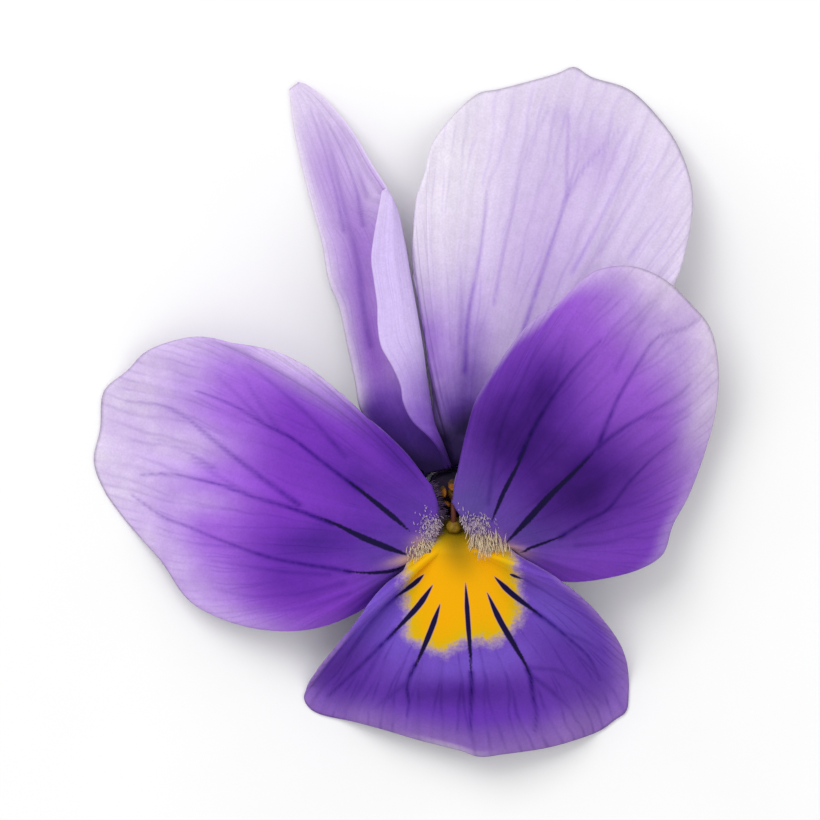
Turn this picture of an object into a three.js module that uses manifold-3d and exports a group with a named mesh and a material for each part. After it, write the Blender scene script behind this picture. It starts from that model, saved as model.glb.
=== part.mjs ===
// A picked johnny jump up flower, lying on its back with its face up. Millimetres, +Z up.
// The origin is under the middle of the whole flower, on the surface that it lies on, and +Y
// points along the two upper petals. The five petals, the stamens and the pistil stand on a small
// cup at the end of the stalk, the sepals spread under the petals, and the spur reaches down.

import * as THREE from 'three';
import { mergeVertices } from 'three/addons/utils/BufferGeometryUtils.js';
import Module from 'manifold-3d';

const wasm = await Module();
wasm.setup();

// Driving dimensions

const PETAL_THICKNESS = 0.25;
const PETAL_COLUMNS = 26;
const CLAW_ROWS = [0, 0.06, 0.11, 0.15, 0.18];
const BLADE_ROWS = 12;
const CLAW_TOP = 0.21; // how far along a petal its claw has climbed to the throat
const BLADE_START = 0.15; // how far along a petal its blade starts to run outwards
const BLADE_EASE = 1.25;
const CLAW_LEAN = 1.6; // over 1, a claw climbs before it leans over the throat

const CUP = { x: 1.88, y: -3.2, top: 3.0, bottom: 2.1, radius: 1.0 };
const CLAW_RING = { radius: 1.25, height: 3.15 };
const CLAW_SPREAD = 22; // degrees to each side of a claw's middle

const CUP_RIM = 0.15; // height over which the cup's upper rim is bevelled
const CUP_FOOT = { radius: 0.5, depth: 0.3 };

const SEPAL = { length: 6.4, width: 1.9, thickness: 0.25, flap: 1, ring: 1.3, height: 2.5 };
const SEPAL_BASE = 0.42; // share of a sepal's width that it has at its base
const SEPAL_TIP = 0.06; // share of a sepal's width that it has at its tip
const SEPAL_TROUGH = 0.12; // how much higher a sepal's margins are than its middle
const FLAP_SLANT = 0.4; // how far a flap leans outwards for each millimetre that it reaches down
const SPUR = { radius: 0.75, wall: 0.2, roundFrom: 0.8, endShare: 0.45 };
const STAMEN = { ring: 0.5, width: 0.4, depth: 0.22, length: 1.4, foot: 3.2, lean: 7 };
const CONE_TILT = 11; // degrees that the stamens and the pistil lean towards the lower petal
const OVARY = { radius: 0.24, length: 1 };
const HEAD = { x: 1.9, y: -4.6, z: 4.72, radius: 0.3 };
const STYLE_RADIUS = 0.09;
const STALK_RADIUS = 0.42;

const SURFACE_STEP = 1e-3; // step for measuring how a surface slopes
const THINNEST = 1 / 3; // share of a petal's thickness that is left where it is laid flat
const BAR_STEPS = 12;
const WELD = 1e-4; // points nearer than this are one point

// Colours

const COLOURS = {
  petal_back_left: 0xb79ad6,
  petal_back_right: 0xd9cfe8,
  petal_left: 0x8a4fc6,
  petal_right: 0x7f45bd,
  petal_lower: 0x6a4cc0,
  sepal: 0x6f9a4a,
  stamen: 0xe08a2a,
  pistil: 0x9aa83c,
  stalk: 0x7ea352,
};

// Outlines
// Each is a row of points [x, y, z] that a smooth curve runs through, counterclockwise as seen
// from above. A rim starts and ends at the throat. A throat line is where the claw meets the blade.

const LEFT = {
  claw: 198,
  arch: 0.035,
  bow: 0.1,
  throat: [[0.95, -2.9, 5.2], [1.4, -4, 5.3], [1.4, -4.6, 5.2], [0.7, -5.3, 4.6], [0.15, -5.5, 4.2]],
  rim: [
    [0.5, -2.35, 5.15], [-0.5, -1.2, 5], [-1.8, -0.05, 4.7], [-3.35, 1.3, 4.2], [-4.7, 2.2, 3.7],
    [-5.75, 2.55, 3.3], [-7.25, 2.8, 2.7], [-8.15, 3, 2.2], [-9.1, 2.9, 1.7], [-10.45, 2.4, 0.9],
    [-11.2, 1.65, 0.3], [-12.15, 0.8, -0.4], [-12.3, -0.7, -0.7], [-12.55, -2, -0.7],
    [-12.15, -3.15, -0.6], [-11.5, -4.1, -0.2], [-10.75, -5, 0.3], [-9.85, -6, 0.8],
    [-8.7, -7.6, 1.1], [-7.05, -8.45, 1.6], [-5.2, -8.8, 2.1], [-3.55, -8.65, 2.5],
    [-2.35, -8.2, 2.8], [-1.3, -7.6, 3.1], [-0.5, -6.75, 3.6], [-0.1, -6, 4],
  ],
};

const RIGHT = {
  claw: -18,
  arch: 0.04,
  bow: 0.08,
  throat: [
    [4.4, -5.4, 4.3], [3.9, -5.2, 4.65], [3.25, -5.1, 4.9], [2.65, -5, 5.05], [2.3, -4.55, 5.2],
    [2.05, -4.1, 5.25], [1.85, -3.55, 5.3],
  ],
  rim: [
    [4.75, -6, 4.15], [5.4, -6.5, 3.8], [6.35, -6.8, 3.5], [7.8, -6.7, 3.1], [9.4, -6.3, 2.6],
    [10.3, -5.7, 2.2], [10.7, -4.55, 1.9], [11.3, -3.45, 1.7], [12, -1.6, 1.7], [12.45, 0.2, 1.9],
    [12.5, 2, 2.3], [12.15, 3.4, 2.8], [11.45, 4.25, 3.2], [10.3, 5.3, 3.7], [9.05, 5.8, 4],
    [7.8, 5.7, 4.3], [7.1, 5.3, 4.5], [6.15, 4.4, 4.6], [4.9, 3.5, 4.8], [3.6, 1.8, 5],
    [2.95, 0.75, 5.1], [2.5, -0.7, 5.15], [2.15, -2.2, 5.2], [1.9, -3, 5.25],
  ],
};

const BACK_RIGHT = {
  claw: 54,
  arch: 0.04,
  bow: 0.06,
  throat: [[3.25, -2.3, 3.7], [2.9, -1.9, 3.85], [2.55, -1.8, 3.8], [2.25, -2, 3.5]],
  rim: [
    [4.2, -2, 3.3], [6.2, -0.9, 3.1], [8.2, 0.9, 3.1], [9.8, 3.2, 3], [10.7, 5, 2.9],
    [11.15, 6.2, 2.7], [11.5, 8.65, 1.8], [10.95, 10.6, 1], [10.15, 11.8, 0.4],
    [8.95, 12.95, -0.3], [7.45, 13.45, -0.6], [6.75, 13.85, -0.7], [6.1, 13.6, -0.6],
    [4.5, 13.15, -0.4], [3.7, 12.95, -0.2], [2.85, 12.75, 0.2], [1.1, 10.85, 1.3],
    [0.75, 9.55, 1.9], [0.4, 8.55, 2.2], [0.3, 6.8, 2.7], [0.3, 5.6, 2.9], [0.6, 4.8, 3],
    [0.85, 2.85, 3.1], [1.15, 0.75, 3.2], [1.15, -0.5, 3.15], [1.6, -1.25, 3.05],
    [1.95, -1.75, 3.1],
  ],
};

const LOWER = {
  claw: 270,
  arch: 0.07,
  bow: 0.06,
  throat: [
    [1.2, -5.8, 5.3], [1.5, -5.65, 5.35], [1.88, -5.6, 5.35], [2.25, -5.65, 5.35], [2.65, -5.75, 5.3],
  ],
  rim: [
    [1.05, -5.35, 5.35], [0.6, -5.5, 5.35], [0.1, -5.95, 5.2], [-0.1, -6.4, 5], [-0.9, -7.05, 4.5],
    [-1.7, -8, 3.8], [-2.85, -9.55, 2.3], [-3.65, -10.6, 0.7], [-4.1, -11.55, -0.6],
    [-3.9, -11.9, -0.8], [-3.5, -12.15, -0.5], [-1.95, -12.5, 0.5], [-0.8, -12.8, 1.1],
    [0.55, -13.2, 1.4], [2.15, -13.6, 1.6], [2.95, -13.85, 1.6], [3.9, -13.75, 1.5],
    [5.65, -13.5, 1.1], [6.95, -13.15, 0.6], [7.85, -12.8, -0.1], [8.4, -12.4, -0.5],
    [8.85, -12.05, -0.8], [8.95, -11.35, -0.5], [8.9, -10.25, 0.5], [8.65, -9.45, 1.4],
    [8.1, -8.6, 2.5], [7.3, -7.7, 3.5], [6.35, -6.9, 4.4], [5.35, -6.3, 4.9], [4.4, -5.85, 5.2],
    [3.75, -5.6, 5.35], [3.15, -5.45, 5.35], [2.75, -5.35, 5.35],
  ],
};

// The rolled petal: its left margin, the fold down its right side and the free edge of the strip
// that is folded over, each from the base towards the tip. The strip ends where it meets the fold.
const ROLL = {
  claw: 126,
  reach: 1.85, // half width that the folded strip would have if it went right round
  rise: 0.85, // height of the strip above the fold
  stripEnd: 0.715, // where along the fold the strip ends
  left: [
    [0.75, -2.35, 3.3], [-0.05, -1.85, 3.1], [-0.95, -0.9, 2.6], [-1.8, 0, 2], [-2.05, 1.2, 1.6],
    [-2.35, 2.6, 1.3], [-2.7, 4.2, 1], [-3.1, 5.2, 0.8], [-3.85, 8.45, 0.35], [-4.5, 11.25, 0.05],
    [-4.7, 12.95, -0.1],
  ],
  fold: [
    [1.7, -2.3, 3.9], [1.6, -1.9, 4], [1.35, -1.25, 4.1], [1.05, -0.55, 4.1], [0.75, 1.2, 4.1],
    [0.6, 2.45, 4], [0.35, 3.95, 3.8], [0.1, 5.35, 3.5], [-0.15, 6.85, 3.1], [-0.5, 8.25, 2.6],
    [-1.45, 10.05, 1.7], [-2.25, 11.25, 1.1], [-3.45, 12.65, 0.4], [-4.3, 13.25, 0.05],
  ],
  strip: [
    [1.65, -2.3], [1.5, -1.9], [1.05, -1.15], [0.25, -0.4], [-0.1, 0.4], [-0.55, 1.8], [-1, 2.6],
    [-1.15, 4.2], [-1.3, 5.25], [-1.4, 6.05], [-1.3, 6.85], [-1.1, 8.2], [-1.12, 9.35],
  ],
};

// Sepals: the direction each leaves the cup in, the direction it ends in and its tip's height
const SEPALS = {
  sepal_top: { from: 80, to: 72, tip: 1.7 },
  sepal_left: { from: 155, to: 160, tip: 1.5 },
  sepal_lower_left: { from: 216, to: 237, tip: 1.2 },
  sepal_lower_right: { from: 324, to: 303, tip: 1.2 },
  sepal_right: { from: 22, to: 14, tip: 1.7 },
};

const SPUR_PATH = [
  [1.88, -4.9, 5.4], [1.88, -5, 4.2], [1.88, -5.25, 3], [1.88, -5.7, 1.7], [1.88, -6.05, 0.55],
];
// The spur's mouth is cut off along a plane between these two places on the claw
const SPUR_MOUTH = { near: [-4.36, 3.15], far: [-5.5, 5.35] };
const STALK_PATH = [[1.88, -3.2, 2.5], [1.9, -2.9, 1.5], [2.3, -1.6, 0.75], [3.1, 0.6, 0.5]];
const STYLE_PATH = [[1.88, -3.4, 4], [1.88, -3.55, 4.75], [1.89, -4, 5], [1.9, -4.5, 4.8]];

// Small helpers

const radians = THREE.MathUtils.degToRad;
const smooth = THREE.MathUtils.smoothstep;
const lerp = THREE.MathUtils.lerp;

function curveThrough(rows) {
  const points = rows.map(([x, y, z = 0]) => new THREE.Vector3(x, y, z));
  return new THREE.CatmullRomCurve3(points, false, 'centripetal');
}

// A point on a circle round the cup's middle.
function roundCup(radius, degrees, z) {
  const turn = radians(degrees);
  return new THREE.Vector3(CUP.x + radius * Math.cos(turn), CUP.y + radius * Math.sin(turn), z);
}

function spread(count, from, to) {
  return Array.from({ length: count + 1 }, (_, i) => lerp(from, to, i / count));
}

function toGeometry(vertices, triangles) {
  const geometry = new THREE.BufferGeometry();
  geometry.setAttribute('position', new THREE.Float32BufferAttribute(vertices, 3));
  geometry.setIndex(triangles);
  geometry.computeVertexNormals();
  return geometry;
}

function toSolid(geometry) {
  const bare = geometry.clone();
  bare.deleteAttribute('normal');
  bare.deleteAttribute('uv');
  const merged = mergeVertices(bare, WELD);
  const vertProperties = new Float32Array(merged.attributes.position.array);
  const triVerts = new Uint32Array(merged.index.array);
  return new wasm.Manifold(new wasm.Mesh({ numProp: 3, vertProperties, triVerts }));
}

function fromSolid(solid) {
  const mesh = solid.getMesh();
  return toGeometry(Array.from(mesh.vertProperties), Array.from(mesh.triVerts));
}

// A closed sheet of even thickness round a surface, which is a function of two numbers from 0 to 1.
// Whatever would reach below the surface that the flower lies on is laid flat on it.
function sheet(surface, rows, columns, thickness) {
  const upper = [];
  const lower = [];
  for (const along of rows) {
    for (const across of columns) {
      const middle = surface(along, across);
      const a0 = Math.max(0, along - SURFACE_STEP);
      const a1 = Math.min(1, along + SURFACE_STEP);
      const c0 = Math.max(0, across - SURFACE_STEP);
      const c1 = Math.min(1, across + SURFACE_STEP);
      const out = surface(a1, across).sub(surface(a0, across));
      const side = surface(along, c1).sub(surface(along, c0));
      const normal = out.cross(side).normalize();
      const top = middle.clone().addScaledVector(normal, thickness / 2);
      const bottom = middle.clone().addScaledVector(normal, -thickness / 2);
      bottom.z = Math.max(bottom.z, 0);
      top.z = Math.max(top.z, bottom.z + thickness * THINNEST);
      upper.push(top);
      lower.push(bottom);
    }
  }
  const wide = columns.length;
  const half = upper.length;
  const triangles = [];
  const quad = (a, b, c, d) => triangles.push(a, b, c, a, c, d);
  for (let r = rows.length - 2; r >= 0; r--) {
    for (let c = 0; c < wide - 1; c++) {
      const i = r * wide + c;
      quad(i, i + wide, i + wide + 1, i + 1);
      quad(half + i, half + i + 1, half + i + wide + 1, half + i + wide);
    }
  }
  const ring = [];
  for (let c = 0; c < wide; c++) ring.push(c);
  for (let r = 1; r < rows.length; r++) ring.push(r * wide + wide - 1);
  for (let c = wide - 2; c >= 0; c--) ring.push((rows.length - 1) * wide + c);
  for (let r = rows.length - 2; r > 0; r--) ring.push(r * wide);
  ring.forEach((i, k) => {
    const next = ring[(k + 1) % ring.length];
    quad(i, next, half + next, half + i);
  });
  const vertices = [...upper, ...lower].flatMap((p) => [p.x, p.y, p.z]);
  return toGeometry(vertices, triangles);
}

// A round bar along a path, with closed ends and a radius that is a function of the way along.
function bar(path, radiusAt, sides) {
  const curve = curveThrough(path);
  const frames = curve.computeFrenetFrames(BAR_STEPS, false);
  const rings = [];
  for (let i = 0; i <= BAR_STEPS; i++) {
    const centre = curve.getPointAt(i / BAR_STEPS);
    const radius = radiusAt(i / BAR_STEPS);
    for (let k = 0; k < sides; k++) {
      const turn = (2 * Math.PI * k) / sides;
      const point = centre.clone();
      point.addScaledVector(frames.normals[i], radius * Math.cos(turn));
      point.addScaledVector(frames.binormals[i], radius * Math.sin(turn));
      point.z = Math.max(point.z, 0);
      rings.push(point);
    }
  }
  const start = rings.push(curve.getPointAt(0)) - 1;
  const end = rings.push(curve.getPointAt(1)) - 1;
  rings[end].z = Math.max(rings[end].z, 0);
  const triangles = [];
  for (let k = 0; k < sides; k++) {
    const next = (k + 1) % sides;
    triangles.push(start, next, k);
    triangles.push(end, BAR_STEPS * sides + k, BAR_STEPS * sides + next);
    for (let i = 0; i < BAR_STEPS; i++) {
      const a = i * sides + k;
      const b = i * sides + next;
      triangles.push(a, b, b + sides, a, b + sides, a + sides);
    }
  }
  return toGeometry(rings.flatMap((p) => [p.x, p.y, p.z]), triangles);
}

// Petals

// A spread petal is a fan of veins: each starts at the claw's foot, climbs to the throat line and
// runs out to the rim. Between the middle vein and the margins the veins bow apart.
function spreadPetal({ claw, throat, rim, arch, bow }) {
  const throatLine = curveThrough(throat);
  const rimLine = curveThrough(rim);
  return (along, across) => {
    const turn = claw + CLAW_SPREAD * (2 * across - 1);
    const foot = roundCup(CLAW_RING.radius, turn, CLAW_RING.height);
    const edge = throatLine.getPointAt(across);
    const run = rimLine.getPointAt(across).sub(edge);
    const climb = smooth(along, 0, CLAW_TOP);
    const lean = climb ** CLAW_LEAN;
    const out = Math.max(0, (along - BLADE_START) / (1 - BLADE_START)) ** BLADE_EASE;
    const inside = (4 * across * (1 - across)) ** 2;
    const bulge = -bow * Math.sin(2 * Math.PI * across) * inside * 4 * out * (1 - out);
    const crown = arch * run.length() * Math.sin(Math.PI * out);
    return new THREE.Vector3(
      lerp(foot.x, edge.x, lean) + run.x * out - run.y * bulge,
      lerp(foot.y, edge.y, lean) + run.y * out + run.x * bulge,
      lerp(foot.z, edge.z, climb) + run.z * out + crown
    );
  };
}

// The rolled petal's section is a hook: from the left margin it climbs to the upright fold, then
// turns back over itself as the strip. `across` starts at the strip's free edge.
function rolledPetal() {
  const leftLine = curveThrough(ROLL.left);
  const foldLine = curveThrough(ROLL.fold);
  const stripLine = curveThrough(ROLL.strip);
  const section = (along, across) => {
    const left = leftLine.getPointAt(along);
    const fold = foldLine.getPointAt(along);
    const strip = stripLine.getPointAt(Math.min(1, along / ROLL.stripEnd));
    const width = along < ROLL.stripEnd ? Math.hypot(strip.x - fold.x, strip.y - fold.y) : 0;
    const most = Math.acos(1 - Math.min(1, width / ROLL.reach));
    const turn = (1 - across) * (Math.PI / 2 + most);
    if (turn <= Math.PI / 2) {
      const share = Math.sin(turn);
      const height = lerp(left.z, fold.z, turn / (Math.PI / 2));
      return new THREE.Vector3(lerp(left.x, fold.x, share), lerp(left.y, fold.y, share), height);
    }
    const past = turn - Math.PI / 2;
    const share = (1 - Math.cos(past)) / (1 - Math.cos(most));
    const height = fold.z + ROLL.rise * Math.sin(past);
    return new THREE.Vector3(lerp(fold.x, strip.x, share), lerp(fold.y, strip.y, share), height);
  };
  return (along, across) => {
    const turn = ROLL.claw + CLAW_SPREAD * (2 * across - 1);
    const foot = roundCup(CLAW_RING.radius, turn, CLAW_RING.height);
    const base = section(0, across);
    const climb = smooth(along, 0, CLAW_TOP);
    const out = Math.max(0, (along - BLADE_START) / (1 - BLADE_START));
    return section(out, across).addScaledVector(foot.sub(base), 1 - climb);
  };
}

const petalRows = [...CLAW_ROWS, ...spread(BLADE_ROWS, 0.21, 1)];
const petalColumns = spread(PETAL_COLUMNS, 0, 1);

function petal(surface) {
  return sheet(surface, petalRows, petalColumns, PETAL_THICKNESS);
}

// The lower petal's claw has a pocket, the spur, which opens into the throat.
function lowerPetal() {
  const rounded = (radius) => (along) => {
    const past = Math.max(0, (along - SPUR.roundFrom) / (1 - SPUR.roundFrom));
    return radius * Math.sqrt(1 - (1 - SPUR.endShare ** 2) * past ** 2);
  };
  const [nearY, nearZ] = SPUR_MOUTH.near;
  const [farY, farZ] = SPUR_MOUTH.far;
  const outward = new THREE.Vector3(0, nearZ - farZ, farY - nearY).normalize();
  const offset = outward.y * nearY + outward.z * nearZ;
  const tube = toSolid(bar(SPUR_PATH, rounded(SPUR.radius), 14));
  const outside = tube.trimByPlane(outward.toArray(), offset);
  const hollowPath = SPUR_PATH.map(([x, y, z]) => [x, y, z + SPUR.wall]);
  const hollow = toSolid(bar(hollowPath, rounded(SPUR.radius - SPUR.wall), 12));
  return fromSolid(toSolid(petal(spreadPetal(LOWER))).add(outside).subtract(hollow));
}

// Sepals

// A sepal is a lance shape that leaves the cup under the petals, with a short flap behind its base.
function sepal({ from, to, tip }) {
  const surface = (along, across) => {
    const reach = lerp(-SEPAL.flap, SEPAL.length, along);
    const outward = Math.max(0, reach) / SEPAL.length;
    const drop = Math.max(0, -reach);
    const direction = radians(lerp(from, to, outward));
    const swell = (1 - SEPAL_BASE) * Math.sin(Math.PI * outward);
    const shape = SEPAL_BASE + swell - (SEPAL_BASE - SEPAL_TIP) * outward ** 3;
    const sideways = (2 * across - 1) * (SEPAL.width / 2) * shape;
    const middle = SEPAL.ring + Math.max(0, reach) + FLAP_SLANT * drop;
    const height = lerp(SEPAL.height, tip, outward) - drop;
    return new THREE.Vector3(
      CUP.x + middle * Math.cos(direction) - sideways * Math.sin(direction),
      CUP.y + middle * Math.sin(direction) + sideways * Math.cos(direction),
      height + SEPAL_TROUGH * (2 * across - 1) ** 2
    );
  };
  return sheet(surface, spread(10, 0, 1), spread(4, 0, 1), SEPAL.thickness);
}

// The parts inside the throat

// Turns a shape that stands on the cup's middle by the lean of the whole cone.
function tiltOnCup(geometry, foot) {
  geometry.rotateX(radians(CONE_TILT));
  geometry.translate(CUP.x, CUP.y, foot);
  return geometry;
}

// A stamen is a flat anther on a very short foot, leaning in with the others to a cone.
function stamen(turn) {
  const anther = new THREE.SphereGeometry(1, 10, 8);
  anther.rotateX(Math.PI / 2);
  anther.scale(STAMEN.depth / 2, STAMEN.width / 2, STAMEN.length / 2);
  anther.translate(0, 0, STAMEN.length / 2);
  anther.rotateY(radians(-STAMEN.lean));
  anther.translate(STAMEN.ring, 0, 0);
  anther.rotateZ(radians(turn));
  return tiltOnCup(anther, STAMEN.foot);
}

// The pistil: the egg-shaped ovary, the bent style and the round head, grown as one piece.
function pistil() {
  const ovary = new THREE.SphereGeometry(1, 12, 8);
  ovary.rotateX(Math.PI / 2);
  ovary.scale(OVARY.radius, OVARY.radius, OVARY.length / 2);
  ovary.translate(0, 0, OVARY.length / 2);
  tiltOnCup(ovary, STAMEN.foot);
  const head = new THREE.SphereGeometry(HEAD.radius, 12, 8);
  head.translate(HEAD.x, HEAD.y, HEAD.z);
  const style = bar(STYLE_PATH, () => STYLE_RADIUS, 8);
  return fromSolid(toSolid(ovary).add(toSolid(style)).add(toSolid(head)));
}

// The cup with the short snapped end of the stalk below it.
function stalk() {
  const profile = [
    [0, CUP.bottom - CUP_FOOT.depth], [CUP_FOOT.radius, CUP.bottom - CUP_FOOT.depth],
    [CUP.radius - CUP_RIM, CUP.bottom], [CUP.radius, lerp(CUP.bottom, CUP.top, 0.5)],
    [CUP.radius, CUP.top - CUP_RIM], [CUP.radius - CUP_RIM, CUP.top], [0, CUP.top],
  ].map(([r, z]) => new THREE.Vector2(r, z));
  const cup = new THREE.LatheGeometry(profile, 20);
  cup.rotateX(Math.PI / 2);
  cup.translate(CUP.x, CUP.y, 0);
  const stem = bar(STALK_PATH, () => STALK_RADIUS, 12);
  return fromSolid(toSolid(cup).add(toSolid(stem)));
}

// The flower

const flower = new THREE.Group();

function place(name, geometry, colour, roughness = 0.6) {
  const material = new THREE.MeshStandardMaterial({ color: colour, roughness, metalness: 0 });
  const mesh = new THREE.Mesh(geometry, material);
  mesh.name = name;
  flower.add(mesh);
}

place('petal_back_right', petal(spreadPetal(BACK_RIGHT)), COLOURS.petal_back_right);
place('petal_back_left', petal(rolledPetal()), COLOURS.petal_back_left);
place('petal_left', petal(spreadPetal(LEFT)), COLOURS.petal_left);
place('petal_right', petal(spreadPetal(RIGHT)), COLOURS.petal_right);
place('petal_lower', lowerPetal(), COLOURS.petal_lower);

for (const [name, shape] of Object.entries(SEPALS)) {
  place(name, sepal(shape), COLOURS.sepal);
}

for (let i = 0; i < 5; i++) {
  place(`stamen_${i + 1}`, stamen(90 + 72 * i), COLOURS.stamen, 0.8);
}

place('pistil', pistil(), COLOURS.pistil);
place('flower_stalk', stalk(), COLOURS.stalk);

export default flower;
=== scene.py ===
# A picked johnny jump up flower, lying on its back with its face up on a pale surface.
# Shapes are worked out in millimetres and put into the meshes in metres. +Z is up, and +Y points
# along the two upper petals.

import bpy
import numpy as np
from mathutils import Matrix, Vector


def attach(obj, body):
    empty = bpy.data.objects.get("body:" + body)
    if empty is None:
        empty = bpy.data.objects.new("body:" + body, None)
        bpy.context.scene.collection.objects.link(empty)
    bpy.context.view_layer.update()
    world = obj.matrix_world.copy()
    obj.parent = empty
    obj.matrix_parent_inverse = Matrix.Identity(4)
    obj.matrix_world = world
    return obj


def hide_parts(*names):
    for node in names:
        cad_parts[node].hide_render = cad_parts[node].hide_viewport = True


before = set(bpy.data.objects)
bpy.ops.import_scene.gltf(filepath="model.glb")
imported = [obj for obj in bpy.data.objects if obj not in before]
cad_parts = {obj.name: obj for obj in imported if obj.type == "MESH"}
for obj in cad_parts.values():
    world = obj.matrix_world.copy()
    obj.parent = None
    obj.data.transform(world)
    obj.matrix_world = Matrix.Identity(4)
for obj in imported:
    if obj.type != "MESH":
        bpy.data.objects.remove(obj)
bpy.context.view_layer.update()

MM = 0.001
SEED = 20

# Driving dimensions

PETAL_THICKNESS = 0.17
RIM_ROUND = 0.02  # share of a petal's width over which its margin thins to an edge
CLAW_TOP = 0.21  # how far along a petal its claw has climbed to the throat
BLADE_START = 0.15  # how far along a petal its blade starts to run outwards
BLADE_EASE = 1.25
CLAW_LEAN = 1.6
CLAW_SPREAD = 30.0  # degrees to each side of a claw's middle
CLAW_FOOT = 3.15
CUP = (1.88, -3.2)
LIE = 0.25  # height over which a low rim bends to lie flat on the surface
LOWEST = 0.01  # no point of the flower is lower than this above the surface

# Outlines
# Each is a row of points (x, y, z) that a smooth curve runs through, counterclockwise as seen
# from above. A rim starts and ends at the throat. A throat line is where the claw meets the blade.
# A rim's height below 0 means that the petal lies flat there, see lie_down.

LEFT = {
    "claw": 198, "ring": 1.15, "arch": 0.035, "bow": 0.1,
    "throat": [(0.95, -2.9, 5.2), (1.4, -4, 5.3), (1.4, -4.6, 5.2), (0.85, -5.4, 4.85), (0.2, -5.7, 4.45)],
    "rim": [
        (0.5, -2.35, 5.2), (-0.5, -1.2, 5.18), (-1.8, -0.05, 4.95), (-3.35, 1.3, 4.45), (-4.7, 2.2, 3.85),
        (-5.75, 2.55, 3.3), (-7.25, 2.8, 2.7), (-8.15, 3, 2.2), (-9.1, 2.9, 1.7), (-10.45, 2.4, 0.9),
        (-11.2, 1.65, 0.3), (-12.15, 0.8, -0.4), (-12.3, -0.7, -0.7), (-12.55, -2, -0.7),
        (-12.15, -3.15, -0.6), (-11.5, -4.1, -0.2), (-10.75, -5, 0.3), (-9.85, -6, 0.8),
        (-8.7, -7.6, 1.1), (-7.05, -8.45, 1.6), (-5.2, -8.8, 2.1), (-3.55, -8.65, 2.5),
        (-2.35, -8.2, 2.8), (-1.3, -7.6, 3.1), (-0.5, -6.75, 3.7), (-0.1, -6.1, 4.15),
    ],
}

RIGHT = {
    "claw": -18, "ring": 1.15, "arch": 0.04, "bow": 0.08,
    "throat": [
        (4.4, -5.45, 4.4), (3.9, -5.3, 4.75), (3.3, -5.3, 5), (2.7, -5.2, 5.2), (2.3, -4.6, 5.25),
        (2.05, -4.1, 5.25), (1.85, -3.55, 5.3),
    ],
    "rim": [
        (4.75, -6, 4.15), (5.4, -6.5, 3.8), (6.35, -6.8, 3.5), (7.8, -6.7, 3.1), (9.4, -6.3, 2.6),
        (10.3, -5.7, 2.2), (10.7, -4.55, 1.9), (11.3, -3.45, 1.7), (12, -1.6, 1.7), (12.45, 0.2, 1.9),
        (12.5, 2, 2.3), (12.15, 3.4, 2.8), (11.45, 4.25, 3.2), (10.3, 5.3, 3.7), (9.05, 5.8, 4),
        (7.8, 5.7, 4.3), (7.1, 5.3, 4.5), (6.15, 4.4, 4.6), (4.9, 3.5, 4.8), (3.6, 1.8, 5),
        (2.95, 0.75, 5.1), (2.5, -0.7, 5.15), (2.15, -2.2, 5.2), (1.9, -3, 5.25),
    ],
}

BACK_RIGHT = {
    "claw": 54, "ring": 1.3, "arch": 0.04, "bow": 0.06,
    "throat": [(3.25, -2.3, 3.7), (2.9, -1.95, 3.85), (2.4, -2, 3.75), (1.85, -2.2, 3.3)],
    "rim": [
        (4.2, -2, 3.3), (6.2, -0.9, 3.1), (8.2, 0.9, 3.1), (9.8, 3.2, 3), (10.7, 5, 2.9),
        (11.15, 6.2, 2.7), (11.5, 8.65, 1.8), (10.95, 10.6, 1), (10.15, 11.8, 0.4),
        (8.95, 12.95, -0.3), (7.45, 13.45, -0.6), (6.75, 13.85, -0.7), (6.1, 13.6, -0.6),
        (4.5, 13.15, -0.4), (3.7, 12.95, -0.2), (2.85, 12.75, 0.2), (1.1, 10.85, 1.3),
        (0.75, 9.55, 1.9), (0.4, 8.55, 2.2), (0.3, 6.8, 2.75), (0.3, 5.6, 3), (0.52, 4.8, 3.15),
        (0.8, 2.85, 3.35), (1.1, 0.75, 3.4), (1.08, -0.5, 3.2), (1.25, -1.25, 3),
        (1.6, -1.9, 3),
    ],
}

LOWER = {
    "claw": 270, "ring": 1.1, "arch": 0.07, "bow": 0.06,
    "throat": [
        (1.0, -5.7, 5.15), (1.45, -5.5, 5.2), (1.88, -5.4, 5.2), (2.35, -5.45, 5.2), (2.9, -5.55, 5.15),
    ],
    "rim": [
        (0.85, -5.5, 4.5), (0.5, -5.65, 4.4), (0.1, -5.98, 4.45), (-0.1, -6.4, 4.5), (-0.9, -7.05, 4.4),
        (-1.7, -8, 4.1), (-2.85, -9.55, 2.75), (-3.65, -10.6, 1.0), (-4.1, -11.55, -0.6),
        (-3.9, -11.9, -0.8), (-3.5, -12.15, -0.5), (-1.95, -12.5, 0.5), (-0.8, -12.8, 1.1),
        (0.55, -13.2, 1.4), (2.15, -13.6, 1.6), (2.95, -13.85, 1.6), (3.9, -13.75, 1.5),
        (5.65, -13.5, 1.1), (6.95, -13.15, 0.6), (7.85, -12.8, -0.1), (8.4, -12.4, -0.5),
        (8.85, -12.05, -0.8), (8.95, -11.35, -0.5), (8.9, -10.25, 0.5), (8.65, -9.45, 1.4),
        (8.1, -8.6, 2.5), (7.3, -7.7, 3.5), (6.35, -6.9, 4.4), (5.35, -6.28, 4.65), (4.5, -5.8, 4.6),
        (3.95, -5.35, 4.45), (3.5, -5.22, 4.5), (3.1, -5.28, 4.6),
    ],
}

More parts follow.
